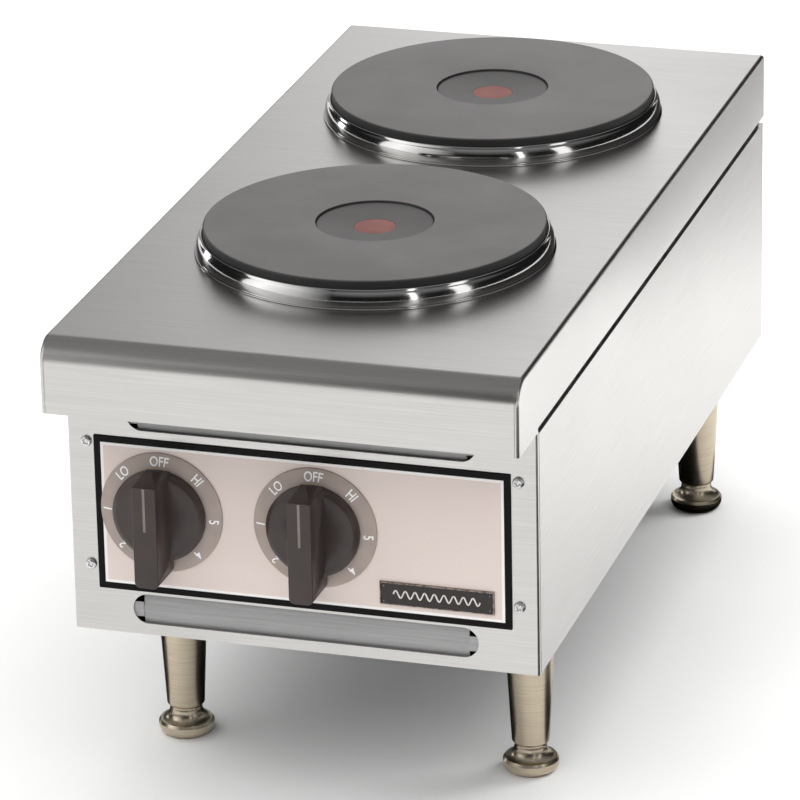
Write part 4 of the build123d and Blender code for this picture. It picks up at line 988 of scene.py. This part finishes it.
def turned_iron(name, x, y):
    """Heat-blackened grey iron: a matt graphite skin with faint rings from turning."""
    made, tree, shader, place = new_material(name)
    centred = add_node(tree, "ShaderNodeMapping", {"Vector": place, "Location": (-x, -y, 0)})
    wave_sockets = {"Vector": centred.outputs[0], "Scale": 0.5 / TURN_PITCH / np.pi, "Distortion": 0.6}
    wave_sockets.update({"Detail": 2.0, "Detail Scale": 2.0})
    rings = add_node(tree, "ShaderNodeTexWave", wave_sockets, wave_type="RINGS", rings_direction="Z")
    grit = add_node(tree, "ShaderNodeTexNoise", {"Vector": place, "Scale": 1100.0, "Detail": 4.0})
    cloud = add_node(tree, "ShaderNodeTexNoise", {"Vector": place, "Scale": 22.0, "Detail": 3.0})
    height_sockets = {0: rings.outputs["Fac"], 1: RING_SHARE, 2: grit.outputs["Fac"]}
    both = add_node(tree, "ShaderNodeMath", height_sockets, operation="MULTIPLY_ADD")
    ramp = add_node(tree, "ShaderNodeValToRGB", {"Fac": cloud.outputs["Fac"]})
    set_ramp(ramp, (0.3, linear(IRON_DARK)), (0.7, linear(IRON_LIGHT)))
    flat_sockets = {0: centred.outputs[0], 1: (1, 1, 0)}
    flat = add_node(tree, "ShaderNodeVectorMath", flat_sockets, operation="MULTIPLY")
    reach = add_node(tree, "ShaderNodeVectorMath", {0: flat.outputs[0]}, operation="LENGTH")
    share_sockets = {0: reach.outputs["Value"], 1: PLATE_RADIUS}
    share = add_node(tree, "ShaderNodeMath", share_sockets, operation="DIVIDE")
    # The zones multiply the iron's colour: darker on the recess floor, painted shade on the recess wall, and
    # on the side partly its cast skin and partly painted shade.
    zones = add_node(tree, "ShaderNodeValToRGB", {"Fac": share.outputs[0]})
    stops = [(RECESS_FLOOR - 0.0003, RECESS_FLOOR_DARKER), (RECESS_FLOOR - 0.0001, RECESS_WALL_SHADE)]
    stops += [(RECESS_RADIUS, RECESS_WALL_SHADE), (RECESS_RADIUS + 0.0003, IRON_FACE)]
    stops += [(PLATE_RADIUS - 0.0010, IRON_FACE), (PLATE_RADIUS - 0.0004, CAST_SIDE_AND_SHADE)]
    set_ramp(zones, *[(radius / PLATE_RADIUS, linear(shade)) for radius, shade in stops])
    skin = add_node(tree, "ShaderNodeMix", data_type="RGBA", blend_type="MULTIPLY")
    colours = {6: ramp.outputs["Color"], 7: zones.outputs["Color"]}
    set_sockets(tree, skin, {"Factor": 1.0, **colours})
    bump_sockets = {"Height": both.outputs[0], "Strength": 0.25, "Distance": 0.00012}
    bump = add_node(tree, "ShaderNodeBump", bump_sockets)
    rough_range = {"Value": grit.outputs["Fac"], "To Min": 0.46, "To Max": 0.60}
    rough = add_node(tree, "ShaderNodeMapRange", rough_range)
    tree.links.new(skin.outputs[2], shader.inputs["Base Color"])
    tree.links.new(rough.outputs["Result"], shader.inputs["Roughness"])
    tree.links.new(bump.outputs["Normal"], shader.inputs["Normal"])
    return made


def turned(section, x, y, steps):
    """A shape turned about an upright line at x, y, from a section of radius and height."""
    turn = np.linspace(0, 2 * np.pi, steps, endpoint=False)
    px = x + np.outer(section[:, 0], np.cos(turn))
    py = y + np.outer(section[:, 0], np.sin(turn))
    pz = np.broadcast_to(section[:, 1:], px.shape)
    points = np.stack([px, py, pz], axis=-1).reshape(-1, 3)
    return points, grid_faces(len(section), steps, closed=True)


marker_paint = moulded("marker_red_paint", "#7c504b", "#704743", 0.6, 0.0008)
for end, place in plate_places.items():
    low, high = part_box(f"{end}_plate_disc")
    face = high.z
    spot_low, spot_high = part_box(f"{end}_heat_marker")
    spot = (spot_high.x - spot_low.x) / 2
    core = PLATE_RADIUS - CORE_STEP
    under = DECK - CORE_DEPTH
    shoulder, _ = arc((PLATE_RADIUS - SHOULDER, face - SHOULDER), SHOULDER, 90, 0, 9)
    step_top, _ = arc((RECESS_RADIUS + 0.0003, face - 0.0003), 0.0003, 160, 90, 4)
    step_foot, _ = arc((RECESS_FLOOR - 0.0003, face - RECESS_DEPTH + 0.0003), 0.0003, 270, 340, 4)
    groove_top = under + GROOVE_DEPTH
    section = np.vstack([
        [(0, spot_low.z), (spot, spot_low.z), (spot, spot_high.z)],
        step_foot, step_top, shoulder,
        [(PLATE_RADIUS, DECK + RIM_BOTTOM), (core, DECK + RIM_BOTTOM), (core, under)],
        [(GROOVE[1], under), (GROOVE[1], groove_top), (GROOVE[0], groove_top), (GROOVE[0], under)],
        [(STUD_RADIUS, under), (STUD_RADIUS, groove_top), (0, groove_top)],
    ])
    iron = turned_iron(f"{end}_turned_iron", place.x, place.y)
    points, faces = turned(section, place.x, place.y, PLATE_STEPS)
    build(f"{end}_iron_plate", points, faces, iron, "casing", f"{end}_plate_disc", slot="cast_iron")
    dome, _ = arc((spot - 0.0004, spot_high.z - 0.0004), 0.0004, 90, 0, 4)
    section = np.vstack([[(0, spot_high.z + 0.0001)], dome, [(spot, spot_low.z), (0, spot_low.z)]])
    points, faces = turned(section, place.x, place.y, 64)
    build(f"{end}_red_spot", points, faces, marker_paint, "casing", f"{end}_heat_marker", slot="marker_red")


# ---- Trim rings -------------------------------------------------------------------------
# Thin stainless rings, spun and polished, that close the gap between iron and deck. Each
# has a rolled bead at the iron, a swelling band and a small flange that sits on the deck.
TRIM_SHEET = 0.0008
BEAD = 0.0008
FLANGE_WIDTH = 0.0012
trim_polish = plated("polished_stainless", "#d6d5d4", "#cccbca", 0.10, 0.02)
for end, place in plate_places.items():
    low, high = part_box(f"{end}_trim_ring")
    foot = (high.x - low.x) / 2
    lip = PLATE_RADIUS + 0.0003
    top = high.z
    bead, _ = arc((lip + BEAD, top - BEAD), BEAD, 180, 20, 9)
    flange, _ = arc((foot - 0.0005, DECK + 0.0005), 0.0005, 70, -90, 6)
    band_low = (foot - FLANGE_WIDTH, DECK + 0.0012)
    band_high = bead[-1] + np.array([0.0003, -0.0009])
    share = np.linspace(0, 1, 14)
    swell = 0.0011 * np.sin(np.pi * share) ** 0.8
    band = np.column_stack([
        band_high[0] + (band_low[0] - band_high[0]) * share + 0.96 * swell,
        band_high[1] + (band_low[1] - band_high[1]) * share + 0.28 * swell,
    ])
    outer = np.vstack([bead, band, flange])
    inside = foot - FLANGE_WIDTH - TRIM_SHEET
    inner = [(inside, DECK), (inside, DECK + 0.002)]
    inner += [(lip + TRIM_SHEET, top - 2.5 * BEAD), (lip, top - 1.5 * BEAD)]
    section = np.vstack([outer, inner, outer[:1]])
    points, faces = turned(section, place.x, place.y, PLATE_STEPS)
    build(f"{end}_spun_ring", points, faces, trim_polish, "casing", f"{end}_trim_ring", slot="polished_trim")


# ---- Panel screws -----------------------------------------------------------------------
# Zinc-plated pan heads with a cross recess, four on the front, six on the back and six
# under the floor.
HEAD_RADIUS = 0.00375
HEAD_HEIGHT = 0.0024
HEAD_RINGS = 22
HEAD_STEPS = 64
CROSS_HALF = 0.0006
CROSS_REACH = 0.0021
CROSS_DEPTH = 0.0011
FIRST_TURN = 0.4
NEXT_TURN = 1.9
screw_zinc = plated("bright_zinc", "#eeeeed", "#d0d1d2", 0.30, 0.003)


def pan_head(turn_by):
    """A head on a polar grid: height h (1 - (r/R)^4)^(1/2), less the recess where the
    point lies within the cross. Gives the points as two across and one outwards."""
    radius = HEAD_RADIUS * np.linspace(0, 1, HEAD_RINGS) ** 0.8
    turn = np.linspace(0, 2 * np.pi, HEAD_STEPS, endpoint=False)
    u = np.outer(radius, np.cos(turn))
    v = np.outer(radius, np.sin(turn))
    crown = HEAD_HEIGHT * np.sqrt(1 - (radius / HEAD_RADIUS) ** 4)[:, None] * np.ones_like(u)
    a = u * np.cos(turn_by) + v * np.sin(turn_by)
    b = v * np.cos(turn_by) - u * np.sin(turn_by)
    arm = np.minimum(np.abs(a), np.abs(b))
    inside = np.clip((CROSS_HALF * 1.3 - arm) / (CROSS_HALF * 0.6), 0, 1)
    inside *= np.clip((CROSS_REACH - np.hypot(u, v)) / (CROSS_HALF * 0.8), 0, 1)
    return np.stack([u, v, crown - CROSS_DEPTH * inside], axis=-1).reshape(-1, 3)


def screw_group(name, node, outwards, slot="zinc_steel"):
    """All the heads of a node: one head for each solid, standing on the panel's face."""
    mesh = nodes[node].data
    co = np.empty(3 * len(mesh.vertices))
    mesh.vertices.foreach_get("co", co)
    co = co.reshape(-1, 3)
    axis = int(np.argmax(np.abs(outwards)))
    sign = outwards[axis]
    flat_axes = [k for k in range(3) if k != axis]
    tops = co[np.isclose(co[:, axis], (co[:, axis] * sign).max() * sign, atol=1e-5)]
    centres = []
    for point in tops[:, flat_axes]:
        if all(np.hypot(*(point - c)) > 2 * HEAD_RADIUS for c in centres):
            near = tops[np.hypot(*(tops[:, flat_axes] - point).T) < 2 * HEAD_RADIUS][:, flat_axes]
            centres.append((near.min(0) + near.max(0)) / 2)
    seat = (co[:, axis] * sign).max() - HEAD_HEIGHT
    all_points, all_faces = [], []
    start = 0
    for k, centre in enumerate(centres):
        local = pan_head(FIRST_TURN + NEXT_TURN * k)
        placed = np.empty_like(local)
        placed[:, flat_axes[0]] = centre[0] + local[:, 0]
        placed[:, flat_axes[1]] = centre[1] + local[:, 1]
        placed[:, axis] = sign * (seat + local[:, 2])
        all_points.append(placed)
        all_faces += list(grid_faces(HEAD_RINGS, HEAD_STEPS, closed=True) + start)
        all_faces.append(np.arange(HEAD_STEPS) + start + (HEAD_RINGS - 1) * HEAD_STEPS)
        start += len(local)
    return build(name, np.vstack(all_points), all_faces, screw_zinc, "casing", node, slot=slot, smooth=50)


screw_group("front_screw_heads", "front_panel_screws", (0, -1, 0))
screw_group("rear_screw_heads", "rear_panel_screws", (0, 1, 0))
screw_group("floor_screw_heads", "bottom_panel_screws", (0, 0, -1))


# ---- Legs and feet ----------------------------------------------------------------------
# Tapered tubes in satin nickel that bolt to the floor, with feet that screw in and out at
# their lower ends: a short neck, a flared flange and a rounded pad.
LEG_TOP_RADIUS = 0.0172
LEG_END_RADIUS = 0.0123
LEG_STEPS = 96
LEG_TOP_EDGE = 0.0004
LEG_BOLT = 0.005
STEM = 0.0060
SOCKET = STEM + 0.0001
SOCKET_DEPTH = 0.010


def nickel(name):
    """Satin nickel over a ground tube: a warm straw-grey metal with fine rings from the
    polishing belt."""
    made, tree, shader, place = new_material(name)
    stretch = add_node(tree, "ShaderNodeMapping", {"Vector": place, "Scale": (40, 40, 1500)})
    rings = add_node(tree, "ShaderNodeTexNoise", {"Vector": stretch.outputs[0], "Scale": 1.0, "Detail": 2.0})
    ramp = add_node(tree, "ShaderNodeValToRGB", {"Fac": rings.outputs["Fac"]})
    set_ramp(ramp, (0.3, linear("#c2b49f")), (0.7, linear("#cfc3ae")))
    bump_sockets = {"Height": rings.outputs["Fac"], "Strength": 0.05, "Distance": 0.00006}
    bump = add_node(tree, "ShaderNodeBump", bump_sockets)
    tree.links.new(ramp.outputs["Color"], shader.inputs["Base Color"])
    tree.links.new(bump.outputs["Normal"], shader.inputs["Normal"])
    shader.inputs["Roughness"].default_value = 0.28
    shader.inputs["Metallic"].default_value = 1.0
    return made


satin_nickel = nickel("satin_nickel")
for place in ("front_left", "front_right", "rear_left", "rear_right"):
    low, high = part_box(f"{place}_foot")
    x, y = (low.x + high.x) / 2, (low.y + high.y) / 2
    leg_low, leg_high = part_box(f"{place}_leg")
    end = leg_low.z
    shoulder_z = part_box("left_side_panel")[0].z
    section = np.array([
        (SOCKET, end + SOCKET_DEPTH),
        (SOCKET, end),
        (LEG_END_RADIUS - 0.0012, end),
        (LEG_END_RADIUS - 0.0002, end + 0.0010),
        (LEG_END_RADIUS, end + 0.0016),
        (LEG_TOP_RADIUS, shoulder_z - LEG_TOP_EDGE),
        (LEG_TOP_RADIUS - LEG_TOP_EDGE, shoulder_z),
        (LEG_BOLT, shoulder_z),
        (LEG_BOLT, leg_high.z),
        (0.0, leg_high.z),
        (0.0, end + SOCKET_DEPTH),
        (SOCKET, end + SOCKET_DEPTH),
    ])
    points, faces = turned(section, x, y, LEG_STEPS)
    build(f"{place}_leg_tube", points, faces, satin_nickel, "casing", f"{place}_leg", slot="nickel_leg")
    pad = (high.x - low.x) / 2
    under, _ = arc((pad - 0.0062, 0.0062), 0.0062, 270, 350, 10)
    ledge = np.array([(pad - 0.0002, 0.0062), (pad, 0.0068), (pad, 0.0080), (pad - 0.0005, 0.0086)])
    cove_turn = np.linspace(0, np.pi / 2, 12)
    cove_outer = (pad - 0.0013, 0.0098)
    cove_inner = (0.0106, 0.0178)
    cove = np.column_stack([
        cove_inner[0] + (cove_outer[0] - cove_inner[0]) * (1 - np.sin(cove_turn)),
        cove_outer[1] + (cove_inner[1] - cove_outer[1]) * (1 - np.cos(cove_turn)),
    ])
    neck = np.array([(0.0103, 0.0183), (0.0103, end - 0.0006), (0.0100, end - 0.0003)])
    stem = [(STEM, end - 0.0003), (STEM, high.z - 0.001), (STEM - 0.001, high.z), (0, high.z)]
    section = np.vstack([[(0, 0)], under, ledge, cove, neck, stem])
    points, faces = turned(section, x, y, LEG_STEPS)
    foot = f"{place}_foot"
    build(f"{place}_levelling_foot", points, faces, satin_nickel, foot, foot, slot="nickel_leg")


# ---- Inside parts -----------------------------------------------------------------------
# What the casing hides: elements, clamps, blocks, switches, wiring and their fixings. They
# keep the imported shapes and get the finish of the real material.
def fired(name, light, shade, roughness):
    """Fired ceramic or pressed cement: chalky, with a fine open grain."""
    made, tree, shader, place = new_material(name)
    grain = add_node(tree, "ShaderNodeTexNoise", {"Vector": place, "Scale": 700.0, "Detail": 5.0})
    ramp = add_node(tree, "ShaderNodeValToRGB", {"Fac": grain.outputs["Fac"]})
    set_ramp(ramp, (0.3, linear(shade)), (0.7, linear(light)))
    bump_sockets = {"Height": grain.outputs["Fac"], "Strength": 0.3, "Distance": 0.0001}
    bump = add_node(tree, "ShaderNodeBump", bump_sockets)
    tree.links.new(ramp.outputs["Color"], shader.inputs["Base Color"])
    tree.links.new(bump.outputs["Normal"], shader.inputs["Normal"])
    shader.inputs["Roughness"].default_value = roughness
    return made


def woven_sleeve():
    """Glass-fibre braid: off-white, matt, with a tight diagonal weave."""
    made, tree, shader, place = new_material("glass_braid")
    wave_sockets = {"Vector": place, "Scale": 260.0, "Distortion": 2.0}
    weave = add_node(tree, "ShaderNodeTexWave", wave_sockets, bands_direction="DIAGONAL")
    ramp = add_node(tree, "ShaderNodeValToRGB", {"Fac": weave.outputs["Fac"]})
    set_ramp(ramp, (0.2, linear("#b9b2a2")), (0.8, linear("#dcd6c8")))
    bump_sockets = {"Height": weave.outputs["Fac"], "Strength": 0.5, "Distance": 0.0002}
    bump = add_node(tree, "ShaderNodeBump", bump_sockets)
    tree.links.new(ramp.outputs["Color"], shader.inputs["Base Color"])
    tree.links.new(bump.outputs["Normal"], shader.inputs["Normal"])
    shader.inputs["Roughness"].default_value = 0.8
    return made


steatite = fired("glazed_steatite", "#e9e4d8", "#dcd6c8", 0.35)
cement = fired("pressed_cement", "#a39e97", "#8c8780", 0.85)
brass = plated("plain_brass", "#d9b56a", "#c39d52", 0.3, 0.005)
dull_zinc = plated("dull_zinc", "#c9c9c8", "#a9aaab", 0.34, 0.006)
black_moulding = moulded("black_phenolic", "#1d1c1c", "#151414", 0.45)
black_rubber = moulded("silicone_rubber", "#191919", "#121212", 0.65)
braid = woven_sleeve()
inside_finishes = (
    (("plate_terminal_block",), steatite),
    (("heating_element",), cement),
    (("terminal_screws", "switch_terminals", "ground_lug"), brass),
    (("plate_cover", "clamp_bar", "clamp_studs", "clamp_nuts"), dull_zinc),
    (("nut_plates", "switch_nuts", "shaft"), dull_zinc),
    (("switch_body", "mains_terminal_block"), black_moulding),
    (("grommets",), black_rubber),
    (("_wire",), braid),
)
for name, piece in nodes.items():
    for endings, finish in inside_finishes:
        if name.endswith(endings):
            piece.data.materials.clear()
            piece.data.materials.append(finish)

low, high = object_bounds()
